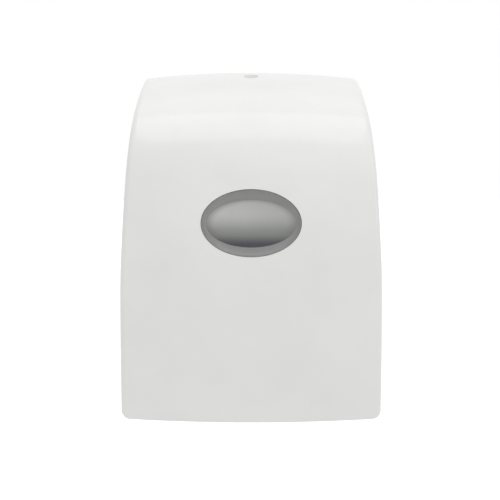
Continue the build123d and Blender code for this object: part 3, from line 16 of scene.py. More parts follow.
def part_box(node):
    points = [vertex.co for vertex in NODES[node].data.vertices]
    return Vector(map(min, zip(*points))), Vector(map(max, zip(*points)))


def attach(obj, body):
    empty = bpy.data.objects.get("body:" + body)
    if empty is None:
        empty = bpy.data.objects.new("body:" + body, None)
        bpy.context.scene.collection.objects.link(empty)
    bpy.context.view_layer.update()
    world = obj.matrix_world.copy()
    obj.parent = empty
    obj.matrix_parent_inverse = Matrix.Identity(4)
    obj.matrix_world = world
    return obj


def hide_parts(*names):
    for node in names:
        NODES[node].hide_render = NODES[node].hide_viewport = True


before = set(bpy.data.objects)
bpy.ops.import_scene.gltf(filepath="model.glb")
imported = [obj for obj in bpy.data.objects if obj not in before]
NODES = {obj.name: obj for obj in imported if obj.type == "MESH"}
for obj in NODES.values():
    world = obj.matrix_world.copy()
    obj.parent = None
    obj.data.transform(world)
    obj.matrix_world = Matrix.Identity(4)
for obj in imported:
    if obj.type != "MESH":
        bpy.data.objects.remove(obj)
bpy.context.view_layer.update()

LOG = logging.getLogger("dispenser")
MM = 0.001
Point = tuple[float, float, float]


class Axis(Enum):
    """A direction of the object, as its number in a vector."""

    X = 0
    Y = 1
    Z = 2


# ---- small helpers


def srgb(code: str) -> tuple[float, float, float, float]:
    """Turns an sRGB hex colour into linear light.

    Args:
        code: Six hex digits after a "#".

    Returns:
        Red, green and blue in linear light, and an alpha of 1.
    """
    parts = (int(code[i : i + 2], 16) / 255 for i in (1, 3, 5))
    linear = (c / 12.92 if c <= 0.04045 else ((c + 0.055) / 1.055) ** 2.4 for c in parts)
    return (*linear, 1.0)


def add_node(
    tree: bpy.types.NodeTree,
    kind: str,
    settings: dict | None = None,
    links: dict | None = None,
) -> bpy.types.Node:
    """Adds one node with its settings and links.

    Args:
        tree: The node tree that the node joins.
        kind: The node's type name.
        settings: Values of its properties, or of its inputs by name or number.
        links: Output sockets to join to its inputs, by name or number.

    Returns:
        The new node.
    """
    node = tree.nodes.new(kind)
    for key, value in (settings or {}).items():
        if isinstance(key, str) and hasattr(node, key):
            setattr(node, key, value)
        else:
            node.inputs[key].default_value = value
    for key, socket in (links or {}).items():
        tree.links.new(socket, node.inputs[key])
    return node


def per_metre(size_mm: float) -> float:
    """Texture scale at which one feature is about `size_mm` across."""
    return 1 / (size_mm * MM)


def make_piece(name: str, mesh: bmesh.types.BMesh, smooth: bool = True) -> bpy.types.Object:
    """Turns a bmesh into an object at the origin.

    Args:
        name: The piece's name.
        mesh: Its shape, in metres, freed here.
        smooth: Whether its faces are shaded smooth.

    Returns:
        The linked object.
    """
    data = bpy.data.meshes.new(name)
    mesh.to_mesh(data)
    mesh.free()
    for face in data.polygons:
        face.use_smooth = smooth
    piece = bpy.data.objects.new(name, data)
    bpy.context.scene.collection.objects.link(piece)
    LOG.info("made %s", name)
    return piece


def dress(names: Iterable[str], material: bpy.types.Material) -> None:
    """Lays one material on every slot of some CAD nodes.

    Args:
        names: The nodes' names.
        material: The material that they wear.
    """
    for name in names:
        for place in NODES[name].material_slots:
            place.material = material
        LOG.info("%s wears %s", name, material.name)


# ---- finishes


def soft_noise(size_mm: float, detail: float = 3) -> dict[str, float]:
    """Settings of a noise whose features are about `size_mm` across."""
    return {"Scale": per_metre(size_mm), "Detail": detail, "Roughness": 0.55}


@dataclass
class Canvas:
    """A material while it is painted.

    Attributes:
        tree: Its node tree.
        shader: Its Principled shader.
        place: The coordinates that its patterns are laid on.
        relief: The normal of its relief so far, if it has any.
    """

    tree: bpy.types.NodeTree
    shader: bpy.types.Node
    place: bpy.types.NodeSocket
    relief: bpy.types.NodeSocket | None = None


@dataclass(frozen=True)
class Finish(ABC):
    """What every finish has: a name, a colour and how rough it is.

    Attributes:
        name: The material's name.
        color: Its sRGB hex colour.
        roughness: Middle of its roughness.
    """

    name: str
    color: str
    roughness: float

    @abstractmethod
    def paint(self, canvas: Canvas) -> None:
        """Lays the finish's colour, roughness and relief on a canvas."""

    def material(self) -> bpy.types.Material:
        """Makes the finish's material.

        Returns:
            The painted material.
        """
        material = bpy.data.materials.new(self.name)
        material.use_nodes = True
        tree = material.node_tree
        tree.nodes.clear()
        shader = add_node(tree, "ShaderNodeBsdfPrincipled")
        add_node(tree, "ShaderNodeOutputMaterial", links={"Surface": shader.outputs["BSDF"]})
        place = add_node(tree, "ShaderNodeTexCoord").outputs["Object"]
        self.paint(Canvas(tree, shader, place))
        return material

    def mottle(
        self, canvas: Canvas, noise: dict[str, float], low: float, high: float
    ) -> bpy.types.NodeSocket:
        """Lays a soft mottling that wanders between two values.

        Args:
            canvas: The material being painted.
            noise: Settings of its noise.
            low: Its value in the noise's troughs.
            high: Its value on the noise's crests.

        Returns:
            The mottling's socket.
        """
        trough, crest = 0.3, 0.7    # nearly all of a noise lies between these
        raw = add_node(canvas.tree, "ShaderNodeTexNoise", noise, {"Vector": canvas.place})
        settings = {"From Min": trough, "From Max": crest, "To Min": low, "To Max": high}
        links = {"Value": raw.outputs["Fac"]}
        return add_node(canvas.tree, "ShaderNodeMapRange", settings, links).outputs["Result"]

    def cloud(self, canvas: Canvas, noise: dict[str, float], other: str) -> None:
        """Clouds the finish's colour with another one.

        Args:
            canvas: The material being painted.
            noise: Settings of the clouds' noise.
            other: The other sRGB hex colour.
        """
        settings = {"data_type": "RGBA", 6: srgb(self.color), 7: srgb(other)}
        links = {0: self.mottle(canvas, noise, 0, 1)}
        clouded = add_node(canvas.tree, "ShaderNodeMix", settings, links).outputs[2]
        canvas.tree.links.new(clouded, canvas.shader.inputs["Base Color"])

    def roughen(self, canvas: Canvas, noise: dict[str, float], less: float, more: float) -> None:
        """Lets the roughness wander about its middle.

        Args:
            canvas: The material being painted.
            noise: Settings of its noise.
            less: How far it falls below the middle.
            more: How far it rises above it.
        """
        rough = self.mottle(canvas, noise, self.roughness - less, self.roughness + more)
        canvas.tree.links.new(rough, canvas.shader.inputs["Roughness"])

    def emboss(
        self,
        canvas: Canvas,
        depth: float,
        settings: dict,
        kind: str = "ShaderNodeTexNoise",
        output: str = "Fac",
    ) -> None:
        """Lays a pattern and raises it as relief, over any relief that is there.

        Args:
            canvas: The material being painted.
            depth: The pattern's real height in mm.
            settings: Settings of its texture.
            kind: The texture's node.
            output: The texture's socket that holds the height, 0 to 1.
        """
        pattern = add_node(canvas.tree, kind, settings, {"Vector": canvas.place})
        links = {"Height": pattern.outputs[output]}
        if canvas.relief is not None:
            links["Normal"] = canvas.relief
        raised = add_node(canvas.tree, "ShaderNodeBump", {"Distance": depth * MM}, links)
        canvas.relief = raised.outputs["Normal"]
        canvas.tree.links.new(canvas.relief, canvas.shader.inputs["Normal"])


@dataclass(frozen=True)
class MouldedPlastic(Finish):
    """Injection-moulded plastic: even colour, a tool-made grain and soft handling marks.

    Attributes:
        shade: Colour where the surface is duller.
        grain: Width of the mould's grain in mm; finer ones are drawn at 0.8 to show.
        depth: Height of that grain in mm.
        uneven: How far the roughness wanders.
        ior: Index of refraction, 1.53 for ABS and 1.48 for acetal.
        shade_size: Width of the duller patches in mm.
        mark_size: Width of the handling marks in mm.
    """

    shade: str
    grain: float
    depth: float
    uneven: float = 0.05
    ior: float = 1.53
    shade_size: float = 90.0
    mark_size: float = 35.0

    def paint(self, canvas: Canvas) -> None:
        """Paints the plastic.

        Args:
            canvas: The material being painted.
        """
        canvas.shader.inputs["IOR"].default_value = self.ior
        self.cloud(canvas, soft_noise(self.shade_size), self.shade)
        self.roughen(canvas, soft_noise(self.mark_size, 5), self.uneven, self.uneven)
        self.emboss(canvas, self.depth, soft_noise(self.grain))


@dataclass(frozen=True)
class BrushedMetal(Finish):
    """Drawn or brushed metal: fine scratches that run one way.

    Attributes:
        along: The way the scratches run.
        stroke: Width of a scratch in mm; real ones are near 0.05 and are drawn coarser.
        depth: Their depth in mm.
        stain: Colour of the duller patches.
        stain_size: Width of those patches in mm.
        draw: A scratch's width as a share of its length.
    """

    along: Axis
    stroke: float
    depth: float
    stain: str
    stain_size: float = 18.0
    draw: float = 0.04

    def paint(self, canvas: Canvas) -> None:
        """Paints the metal.

        Args:
            canvas: The material being painted.
        """
        canvas.shader.inputs["Metallic"].default_value = 1.0
        scale = Vector((1, 1, 1))
        scale[self.along.value] = self.draw
        links = {"Vector": canvas.place}
        drawn = add_node(canvas.tree, "ShaderNodeMapping", {"Scale": scale}, links)
        scratched = replace(canvas, place=drawn.outputs["Vector"])
        scratches = soft_noise(self.stroke, 4)
        self.cloud(canvas, soft_noise(self.stain_size), self.stain)
        self.roughen(scratched, scratches, 0.08, 0.1)
        self.emboss(scratched, self.depth, scratches)


@dataclass(frozen=True)
class Rubber(Finish):
    """Moulded rubber: matt, with a dusty bloom.

    Attributes:
        bloom: Colour of the dusty patches.
        grain: Width of its grain in mm.
        depth: Height of its grain in mm.
        bloom_size: Width of the dusty patches in mm.
    """

    bloom: str
    grain: float
    depth: float = 0.08
    bloom_size: float = 14.0

    def paint(self, canvas: Canvas) -> None:
        """Paints the rubber.

        Args:
            canvas: The material being painted.
        """
        canvas.shader.inputs["Sheen Weight"].default_value = 0.15
        grain = soft_noise(self.grain, 5)
        self.cloud(canvas, soft_noise(self.bloom_size, 6), self.bloom)
        self.roughen(canvas, grain, 0.08, 0.08)
        self.emboss(canvas, self.depth, grain)


@dataclass(frozen=True)
class TowelPaper(Finish):
    """Absorbent crepe paper: soft fibres over an embossed diamond quilting.

    Attributes:
        fibre: Colour of the thinner, greyer spots.
        fibre_size: Width of those spots in mm.
        rough_size: Width of the rougher patches in mm.
        cell: Width of an embossed cell in mm.
        cell_depth: Its depth in mm.
        crepe: Spacing of the creping in mm.
        crepe_depth: Its depth in mm.
    """

    fibre: str
    fibre_size: float = 2.5
    rough_size: float = 6.0
    cell: float = 7.0
    cell_depth: float = 0.5
    crepe: float = 1.0
    crepe_depth: float = 0.12

    def paint(self, canvas: Canvas) -> None:
        """Paints the paper.

        Args:
            canvas: The material being painted.
        """
        canvas.shader.inputs["Sheen Weight"].default_value = 0.25
        self.cloud(canvas, soft_noise(self.fibre_size, 6), self.fibre)
        self.roughen(canvas, soft_noise(self.rough_size), 0.05, 1 - self.roughness)
        cells = {"feature": "SMOOTH_F1", "Scale": per_metre(self.cell), "Randomness": 0.25}
        self.emboss(canvas, self.cell_depth, cells, "ShaderNodeTexVoronoi", "Distance")
        self.emboss(canvas, self.crepe_depth, soft_noise(self.crepe, 5))


@dataclass(frozen=True)
class WoundPaper(TowelPaper):
    """The side of a wound roll: the paper's edges as fine rings about its axis.

    Attributes:
        center: The roll's axis, in metres.
        ring: Spacing of the rings in mm; the real layers are 0.3 mm and are drawn coarser.
        ring_depth: Depth between the rings in mm.
    """

    center: Point = (0, 0, 0)
    ring: float = 1.8
    ring_depth: float = 0.35

    def paint(self, canvas: Canvas) -> None:
        """Paints the paper and its rings.

        Args:
            canvas: The material being painted.
        """
        super().paint(canvas)
        settings = {"Location": [-value for value in self.center]}
        links = {"Vector": canvas.place}
        centred = add_node(canvas.tree, "ShaderNodeMapping", settings, links)
        wave_period = 0.314         # metres between rings at a scale of 1
        rings = {
            "wave_type": "RINGS",
            "rings_direction": "X",
            "Scale": wave_period / (self.ring * MM),
            "Distortion": 1.2,
            "Detail": 2,
        }
        about_axis = replace(canvas, place=centred.outputs["Vector"])
        self.emboss(about_axis, self.ring_depth, rings, "ShaderNodeTexWave")


@dataclass(frozen=True)
class Cardboard(Finish):
    """Spiral-wound grey-brown board with visible fibres.

    Attributes:
        fibre: Colour of its darker fibres.
        fibre_size: Their width in mm.
        depth: Their height in mm.
    """

    fibre: str
    fibre_size: float = 1.5
    depth: float = 0.1

    def paint(self, canvas: Canvas) -> None:
        """Paints the board.

        Args:
            canvas: The material being painted.
        """
        fibres = soft_noise(self.fibre_size, 8)
        self.cloud(canvas, fibres, self.fibre)
        self.roughen(canvas, fibres, 0.05, 0.08)
        self.emboss(canvas, self.depth, fibres)


@dataclass(frozen=True)
class SmokedAcrylic(Finish):
    """Smoke-tinted acrylic, see-through, with a faint haze in the mass.

    Attributes:
        haze: Colour where the tint is thicker.
        clear: Share of the light that passes unscattered.
        haze_size: Width of the haze's patches in mm.
        wipe_size: Width of the marks that wiping leaves, in mm.
        ripple_size: Width of the moulding's ripples in mm.
        ripple_depth: Their height in mm.
    """

    haze: str
    clear: float
    haze_size: float = 40.0
    wipe_size: float = 25.0
    ripple_size: float = 6.0
    ripple_depth: float = 0.01

    def paint(self, canvas: Canvas) -> None:
        """Paints the acrylic.

        Args:
            canvas: The material being painted.
        """
        canvas.shader.inputs["IOR"].default_value = 1.49
        canvas.shader.inputs["Transmission Weight"].default_value = self.clear
        self.cloud(canvas, soft_noise(self.haze_size), self.haze)
        self.roughen(canvas, soft_noise(self.wipe_size, 4), 0.02, 0.02)
        self.emboss(canvas, self.ripple_depth, soft_noise(self.ripple_size))


@dataclass(frozen=True)
class SmokedDome(SmokedAcrylic):
    """The domed middle of the window: smoked acrylic, light on top, with painted shade on its
    right, round its outline, low in its middle and darkest at its foot.

    Attributes:
        right: Painted shade on its right-hand side.
        edge: Painted shade at its outline, in the crease where it meets the dish.
        lower_painted_shade: Painted shade on its lower middle.
        foot_painted_shade: The darkest painted shade, at its foot.
        half_width: Half its width, in metres.
        half_height: Half its upright height, in metres.
        height: Height of its middle, in metres.
    """

    # The four colours below are painted shade laid over the smoked acrylic.
    right: str = "#BDBEBA"
    edge: str = "#A3A4A2"
    lower_painted_shade: str = "#81847F"
    foot_painted_shade: str = "#464653"
    half_width: float = 0.05
    half_height: float = 0.05
    height: float = 0.0

    def paint(self, canvas: Canvas) -> None:
        """Paints the acrylic, then each band of painted shade over the last.

        Args:
            canvas: The material being painted.
        """
        super().paint(canvas)
        tree = canvas.tree
        settings = {
            "Location": (0, 0, -self.height / self.half_height),
            "Scale": (1 / self.half_width, 0, 1 / self.half_height),
        }
        links = {"Vector": canvas.place}
        share = add_node(tree, "ShaderNodeMapping", settings, links).outputs["Vector"]
        axes = add_node(tree, "ShaderNodeSeparateXYZ", links={0: share}).outputs
        settings = {"operation": "LENGTH"}
        reach = add_node(tree, "ShaderNodeVectorMath", settings, {0: share}).outputs["Value"]
        # Each band of painted shade is whole at the first share of the dome's half size and gone
        # at the second.
        painted_shade_bands = (
            (self.right, axes["X"], 1.0, -1.0),
            (self.edge, reach, 1.03, 0.78),
            (self.lower_painted_shade, axes["Z"], -0.8, 0.4),
            (self.foot_painted_shade, axes["Z"], -0.96, -0.52),
        )
        color = canvas.shader.inputs["Base Color"].links[0].from_socket
        for painted_shade_color, source, whole, gone in painted_shade_bands:
            settings = {"interpolation_type": "SMOOTHSTEP", "From Min": whole, "From Max": gone}
            fade = add_node(tree, "ShaderNodeMapRange", settings, {"Value": source})
            settings = {"data_type": "RGBA", 6: srgb(painted_shade_color)}
            links = {0: fade.outputs["Result"], 7: color}
            color = add_node(tree, "ShaderNodeMix", settings, links).outputs[2]
        tree.links.new(color, canvas.shader.inputs["Base Color"])


# ---- sub-assemblies


class Station(NamedTuple):
    """One ring of the window, in metres.

    Attributes:
        wide: Half its width.
        high: Half its height.
        depth: How far it lies behind the front.
        on_skin: Whether it also follows the bow of the front.
    """

    wide: float
    high: float
    depth: float
    on_skin: bool = False


@dataclass
class SmokedWindow:
    """The oval smoked window: a dished rim that slopes in to a dome, with a flange behind.

    Lengths are in metres. The window is built lying flat, looking up, and then stood up
    against the leaning front.

    Attributes:
        height: Height of its middle.
        upright_height: Height at which the front stands upright.
        chest_radius: Radius of the front's arc above that, seen from the side.
        bow_radius: Radius of the front's bow, seen from above.
        half_width: Half the oval's width.
        half_height: Half its height.
        recess: How far its lip lies behind the front.
        lip: How far in from the oval and behind the recess each ring of the lip lies.
        dish_start: The same for the top of the dish's slope.
        dome_half_width: Half the dome's width.
        dome_half_height: Half its height.
        dish_depth: Depth of the crease between dish and dome.
        dome_rise: How far the dome rises from there.
        seat_depth: Depth of the flange.
        flange: Width of the flange.
        wall: Thickness of the acrylic.
        segments: Faces round each ring.
        dome_rings: Rings of the dome.
        dish_rings: Rings of the dish.
        crease_reach: Rings on each side of the crease that are softened.
        crease_passes: Softening passes for each limit.
        crease_limits: Shares of the dome's half height above which it is softened again.
        rim: Finish of the dished rim.
    """

    height: float = 0.249
    upright_height: float = 0.150
    chest_radius: float = 0.4532
    bow_radius: float = 0.670
    half_width: float = 0.06235
    half_height: float = 0.04245
    recess: float = 0.0005
    lip: tuple[tuple[float, float], ...] = (
        (0.0, 0.0006),
        (0.0002, 0.0001),
        (0.0009, 0.0),
        (0.0013, 0.0003),
    )
    dish_start: tuple[float, float] = (0.0015, 0.003)
    dome_half_width: float = 0.0563
    dome_half_height: float = 0.0299
    dish_depth: float = 0.008
    dome_rise: float = 0.0083
    seat_depth: float = 0.009
    flange: float = 0.009
    wall: float = 0.0022
    segments: int = 128
    dome_rings: int = 16
    dish_rings: int = 6
    crease_reach: int = 5
    crease_passes: int = 4
    crease_limits: tuple[float, ...] = (-0.75, -0.6, -0.45, -0.3, -0.15, 0.0)
    rim: SmokedAcrylic = SmokedAcrylic("smoked_acrylic_rim", "#B1B2B0", 0.12, "#A8A9A8", 0.4)

    def skin_depth(self, u: float, v: float) -> float:
        """How far the bowed front falls behind its touching plane at (u, v)."""
        return u**2 / (2 * self.bow_radius) + v**2 / (2 * self.chest_radius)

    def stations(self) -> list[Station]:
        """Lists the window's rings.

        Returns:
            The rings, from the flange in to the dome.
        """
        wide, high = self.half_width, self.half_height
        rings = [
            Station(wide + self.flange, high + self.flange, self.seat_depth),
            Station(wide, high, self.seat_depth),
        ]
        for inset, drop in self.lip:
            rings.append(Station(wide - inset, high - inset, self.recess + drop, on_skin=True))
        inset, drop = self.dish_start
        top = Station(wide - inset, high - inset, self.recess + drop)
        for index in range(1, self.dish_rings + 1):
            share = index / self.dish_rings
            fall = math.sin(share * math.pi / 2)
            rings.append(
                Station(
                    top.wide + share * (self.dome_half_width - top.wide),
                    top.high + share * (self.dome_half_height - top.high),
                    top.depth + fall * (self.dish_depth - top.depth),
                )
            )
        for index in range(1, self.dome_rings):
            share = math.cos(index / self.dome_rings * math.pi / 2)
            depth = self.dish_depth - self.dome_rise * (1 - share**2)
            wide, high = self.dome_half_width * share, self.dome_half_height * share
            rings.append(Station(wide, high, depth))
        return rings

    def ring(
        self, mesh: bmesh.types.BMesh, edges: list, here: Station, there: Station
    ) -> list[bmesh.types.BMEdge]:
        """Extrudes the last ring and moves the copy onto the next station.

        Args:
            mesh: The window's mesh.
            edges: Edges of the last ring.
            here: Its station.
            there: The next station.

        Returns:
            Edges of the new ring.
        """
        grown = bmesh.ops.extrude_edge_only(mesh, edges=edges)["geom"]
        corners = [part for part in grown if isinstance(part, bmesh.types.BMVert)]
        scale = (there.wide / here.wide, there.high / here.high, 1)
        bmesh.ops.scale(mesh, verts=corners, vec=scale)
        bmesh.ops.translate(mesh, verts=corners, vec=(0, 0, here.depth - there.depth))
        for corner in corners if here.on_skin or there.on_skin else ():
            behind = self.skin_depth(corner.co.x, corner.co.y) if there.on_skin else 0.0
            corner.co.z = -there.depth - behind
        return [part for part in grown if isinstance(part, bmesh.types.BMEdge)]

    def soften_crease(self, mesh: bmesh.types.BMesh, rings: list[set]) -> None:
        """Rounds the crease between dish and dome, more and more from its foot upwards.

        Args:
            mesh: The window's mesh, lying flat.
            rings: Corners of every ring after the first.
        """
        crease = len(rings) - self.dome_rings
        first = crease - self.crease_reach + 1
        near = {v for ring in rings[first : crease + self.crease_reach] for v in ring}
        for share in self.crease_limits:
            limit = share * self.dome_half_height
            soft = [corner for corner in near if corner.co.y > limit]
            for _ in range(self.crease_passes):
                bmesh.ops.smooth_vert(mesh, verts=soft, factor=0.5, use_axis_z=True)

    def shape(self) -> bmesh.types.BMesh:
        """Shapes the window's front skin, lying flat and looking up.

        Returns:
            The skin, whose second material is the dome's.
        """
        mesh = bmesh.new()
        stations = self.stations()
        outer = stations[0]
        bmesh.ops.create_circle(mesh, cap_ends=False, segments=self.segments, radius=1.0)
        bmesh.ops.scale(mesh, verts=mesh.verts, vec=(outer.wide, outer.high, 1))
        bmesh.ops.translate(mesh, verts=mesh.verts, vec=(0, 0, -outer.depth))
        edges = list(mesh.edges)
        rings = []
        for here, there in zip(stations, stations[1:]):
            edges = self.ring(mesh, edges, here, there)
            rings.append({corner for edge in edges for corner in edge.verts})
        crest = bmesh.ops.contextual_create(mesh, geom=edges)["faces"][0]
        bmesh.ops.recalc_face_normals(mesh, faces=mesh.faces)
        if crest.normal.z < 0:
            bmesh.ops.reverse_faces(mesh, faces=mesh.faces)
        self.soften_crease(mesh, rings)
        dome_edge = 1.0 + 1e-4
        for face in mesh.faces:
            middle = face.calc_center_median()
            reach = math.hypot(middle.x / self.dome_half_width, middle.y / self.dome_half_height)
            face.material_index = int(reach < dome_edge)
        return mesh

    def build(self) -> None:
        """Makes the window, stands it against the front, dresses it and fixes it to the cover."""
        mesh = self.shape()
        lean = math.asin((self.height - self.upright_height) / self.chest_radius)
        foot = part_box("front_cover")[0].y + self.chest_radius * (1 - math.cos(lean))
        turn = Matrix.Rotation(math.pi / 2 - lean, 4, "X")
        stand = Matrix.Translation((0, foot, self.height)) @ turn
        bmesh.ops.transform(mesh, matrix=stand, verts=mesh.verts)
        piece = make_piece("smoked_window", mesh)
        dome = SmokedDome(
            "smoked_acrylic_dome",
            "#D3D3D1",
            0.07,
            "#C9CAC8",
            0.2,
            half_width=self.dome_half_width,
            half_height=self.dome_half_height * math.cos(lean),
            height=self.height,
        )
        piece.data.materials.append(self.rim.material())
        piece.data.materials.append(dome.material())
        shell = piece.modifiers.new("wall", "SOLIDIFY")
        shell.thickness = self.wall
        shell.offset = -1
        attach(piece, "cover")
        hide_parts("window_lens")


@dataclass
class Cover:
    """The hinged front: its white shell, smoked window, window screws and lock.

    Attributes:
        shell: Finish of the shell and the lock's visible parts.
        screw: Finish of its screws, nut and cam.
        window: The smoked window.
        weld: Corners closer than this become one, in metres.
        crease: Edges that bend by more than this many degrees stay sharp.
    """

    shell: MouldedPlastic = MouldedPlastic(
        "gloss_white_abs", "#EDEDEC", 0.16, "#E9E9E8", 9, 0.02
    )
    screw: BrushedMetal = BrushedMetal(
        "zinc_screw_steel", "#B9BCC0", 0.32, Axis.X, 0.6, 0.02, "#A6A9AE"
    )
    window: SmokedWindow = field(default_factory=SmokedWindow)
    weld: float = 1e-5
    crease: float = 34.0

    def build_shell(self, finish: bpy.types.Material) -> None:
        """Makes the gloss shell from the CAD cover, with no facet showing in its reflections.

        The CAD mesh has a few sliver faces along its rounded sides. Weighing each corner's
        normal by the area of its faces keeps them from denting the gloss.

        Args:
            finish: The shell's material.
        """
        mesh = bmesh.new()
        mesh.from_mesh(NODES["front_cover"].data)
        bmesh.ops.remove_doubles(mesh, verts=mesh.verts, dist=self.weld)
        for edge in mesh.edges:
            edge.smooth = edge.calc_face_angle(math.pi) < math.radians(self.crease)
        for face in mesh.faces:
            face.material_index = 0
        piece = make_piece("gloss_shell", mesh)
        if piece.data.has_custom_normals:
            piece.data.attributes.remove(piece.data.attributes["custom_normal"])
        piece.data.materials.append(finish)
        weighted = piece.modifiers.new("area_weighted", "WEIGHTED_NORMAL")
        weighted.mode = "FACE_AREA"
        weighted.keep_sharp = True
        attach(piece, "cover")
        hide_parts("front_cover")

    def dress(self) -> None:
        """Lays the cover's finishes on its CAD nodes and sets its shell and window."""
        finish = self.shell.material()
        dress(["lock_housing", "lock_plug"], finish)
        self.build_shell(finish)
        self.window.build()
        steel = self.screw.material()
        dress(["window_screws", "lock_nut", "cam_screw", "lock_cam"], steel)


@dataclass
class Chassis:
    """The wall plate, its side frames, tray, paper guides and tear bar.

    Attributes:
        body: Finish of the moulded plates and arms.
        steel: Finish of the pins, screws and strike.
        blade: Finish of the tear bar.
        plate_nodes: The moulded nodes.
        steel_nodes: The steel nodes.
    """

    body: MouldedPlastic = MouldedPlastic("grained_grey_abs", "#A9ABAD", 0.5, "#A1A3A6", 0.8, 0.05)
    steel: BrushedMetal = BrushedMetal(
        "zinc_plated_steel", "#B4B7BA", 0.36, Axis.Z, 0.7, 0.02, "#A1A5AA"
    )
    blade: BrushedMetal = BrushedMetal(
        "brushed_stainless", "#C3C4C6", 0.28, Axis.X, 0.5, 0.02, "#B4B6B9"
    )
    plate_nodes: tuple[str, ...] = (
        "back_plate",
        "base_tray",
        "left_roll_arm",
        "right_roll_arm",
        "right_arm_bracket",
        "rear_paper_guide",
        "front_paper_guide",
        "left_side_frame",
        "right_side_frame",
    )
    steel_nodes: tuple[str, ...] = (
        "hinge_pins",
        "frame_screws",
        "tray_screws",
        "guide_screws",
        "tear_bar_screws",
        "arm_pivot_pin",
        "arm_screws",
        "lock_strike",
        "strike_screw",
    )

    def dress(self) -> None:
        """Lays the chassis's finishes on its CAD nodes."""
        dress(self.plate_nodes, self.body.material())
        dress(self.steel_nodes, self.steel.material())
        dress(["tear_bar"], self.blade.material())


@dataclass
class FeedDrive:
    """Feed roller, knob, gears, pinch roller and their pins.

    Attributes:
        acetal: Finish of the gears, bushes and roller core.
        dark: Finish of the knob and the pinch frame.
        tyre: Finish of the rubber sleeves.
        shaft: Finish of the shaft, pins, clips and clutch.
        wire: Finish of the springs.
    """

    acetal: MouldedPlastic = MouldedPlastic(
        "natural_acetal", "#E4E1D6", 0.38, "#DCD8CB", 1.2, 0.02, 0.06, 1.48
    )
    dark: MouldedPlastic = MouldedPlastic("dark_grey_abs", "#3A3B3D", 0.46, "#333437", 0.8, 0.05)
    tyre: Rubber = Rubber("black_rubber", "#232325", 0.74, "#2D2D30", 0.8)
    shaft: BrushedMetal = BrushedMetal(
        "ground_steel", "#B7B8BB", 0.26, Axis.X, 0.5, 0.01, "#A9ABAF"
    )
    wire: BrushedMetal = BrushedMetal(
        "spring_wire", "#8F9094", 0.34, Axis.Z, 0.5, 0.01, "#7C7D82"
    )

    def dress(self) -> None:
        """Lays the drive's finishes on its CAD nodes."""
        gears = ["idler_gear", "clutch_pinion", "left_shaft_bush", "right_shaft_bush"]
        dress([*gears, "feed_roller_core", "lever_sector_gear"], self.acetal.material())
        dress(["feed_knob", "pinch_frame"], self.dark.material())
        dress(["feed_roller_sleeves", "pinch_rollers"], self.tyre.material())
        pins = ["idler_stud", "idler_clip", "pinch_pivot_pins", "pinch_axle", "shaft_clips"]
        lever_pins = ["lever_pivot_pins", "lever_pin_clips", "lever_spring_post", "sector_screws"]
        dress([*pins, *lever_pins, "feed_shaft", "one_way_clutch"], self.shaft.material())
        dress(["lever_spring", "pinch_springs"], self.wire.material())


@dataclass
class Lever:
    """The paddle lever under the cover's lower edge, its lengths in metres.

    Attributes:
        arm: Finish of the lever.
        grip: Finish of the pad on its paddle.
        ribs: Ribs across the pad.
        rib_height: How far they stand out.
        rib_share: Share of their spacing that they fill.
        rib_margin: How far they keep from the pad's edges.
        pad_round: Radius of the pad's edges.
        rib_round: Radius of the ribs' edges.
        round_steps: Facets of each rounded edge.
    """

    arm: MouldedPlastic = MouldedPlastic("lever_grey_abs", "#55575A", 0.42, "#4D4F52", 0.8, 0.05)
    grip: Rubber = Rubber("lever_grip_rubber", "#1F1F21", 0.7, "#29292B", 0.8)
    ribs: int = 7
    rib_height: float = 0.0009
    rib_share: float = 0.45
    rib_margin: float = 0.005
    pad_round: float = 0.0007
    rib_round: float = 0.0006
    round_steps: int = 3

    def bar(self, mesh: bmesh.types.BMesh, low: Point, high: Point, radius: float) -> None:
        """Adds one bar with rounded edges.

        Args:
            mesh: The mesh that it joins.
            low: Its lowest corner.
            high: Its highest corner.
            radius: Radius of its edges.
        """
        corners = bmesh.ops.create_cube(mesh, size=1.0)["verts"]
        size = Vector(high) - Vector(low)
        bmesh.ops.scale(mesh, verts=corners, vec=size)
        bmesh.ops.translate(mesh, verts=corners, vec=(Vector(high) + Vector(low)) / 2)
        edges = list({edge for corner in corners for edge in corner.link_edges})
        bmesh.ops.bevel(
            mesh,
            geom=edges,
            offset=radius,
            segments=self.round_steps,
            profile=0.5,
            affect="EDGES",
            material=-1,
        )

    def build_grip(self) -> None:
        """Makes the ribbed rubber pad on the paddle's face."""
        low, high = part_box("lever_pad")
        mesh = bmesh.new()
        face_y = low.y + self.rib_height
        self.bar(mesh, (low.x, face_y, low.z), (high.x, high.y, high.z), self.pad_round)
        spacing = (high.z - low.z - 2 * self.rib_margin) / self.ribs
        for index in range(self.ribs):
            foot = low.z + self.rib_margin + (index + (1 - self.rib_share) / 2) * spacing
            top = foot + self.rib_share * spacing
            start = (low.x + self.rib_margin, low.y, foot)
            end = (high.x - self.rib_margin, high.y - self.rib_height, top)
            self.bar(mesh, start, end, self.rib_round)
        piece = make_piece("ribbed_grip", mesh)
        piece.data.materials.append(self.grip.material())
        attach(piece, "lever")
        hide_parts("lever_pad")

    def dress(self) -> None:
        """Lays the lever's finish on its CAD node and makes its grip."""
        dress(["feed_lever"], self.arm.material())
        self.build_grip()


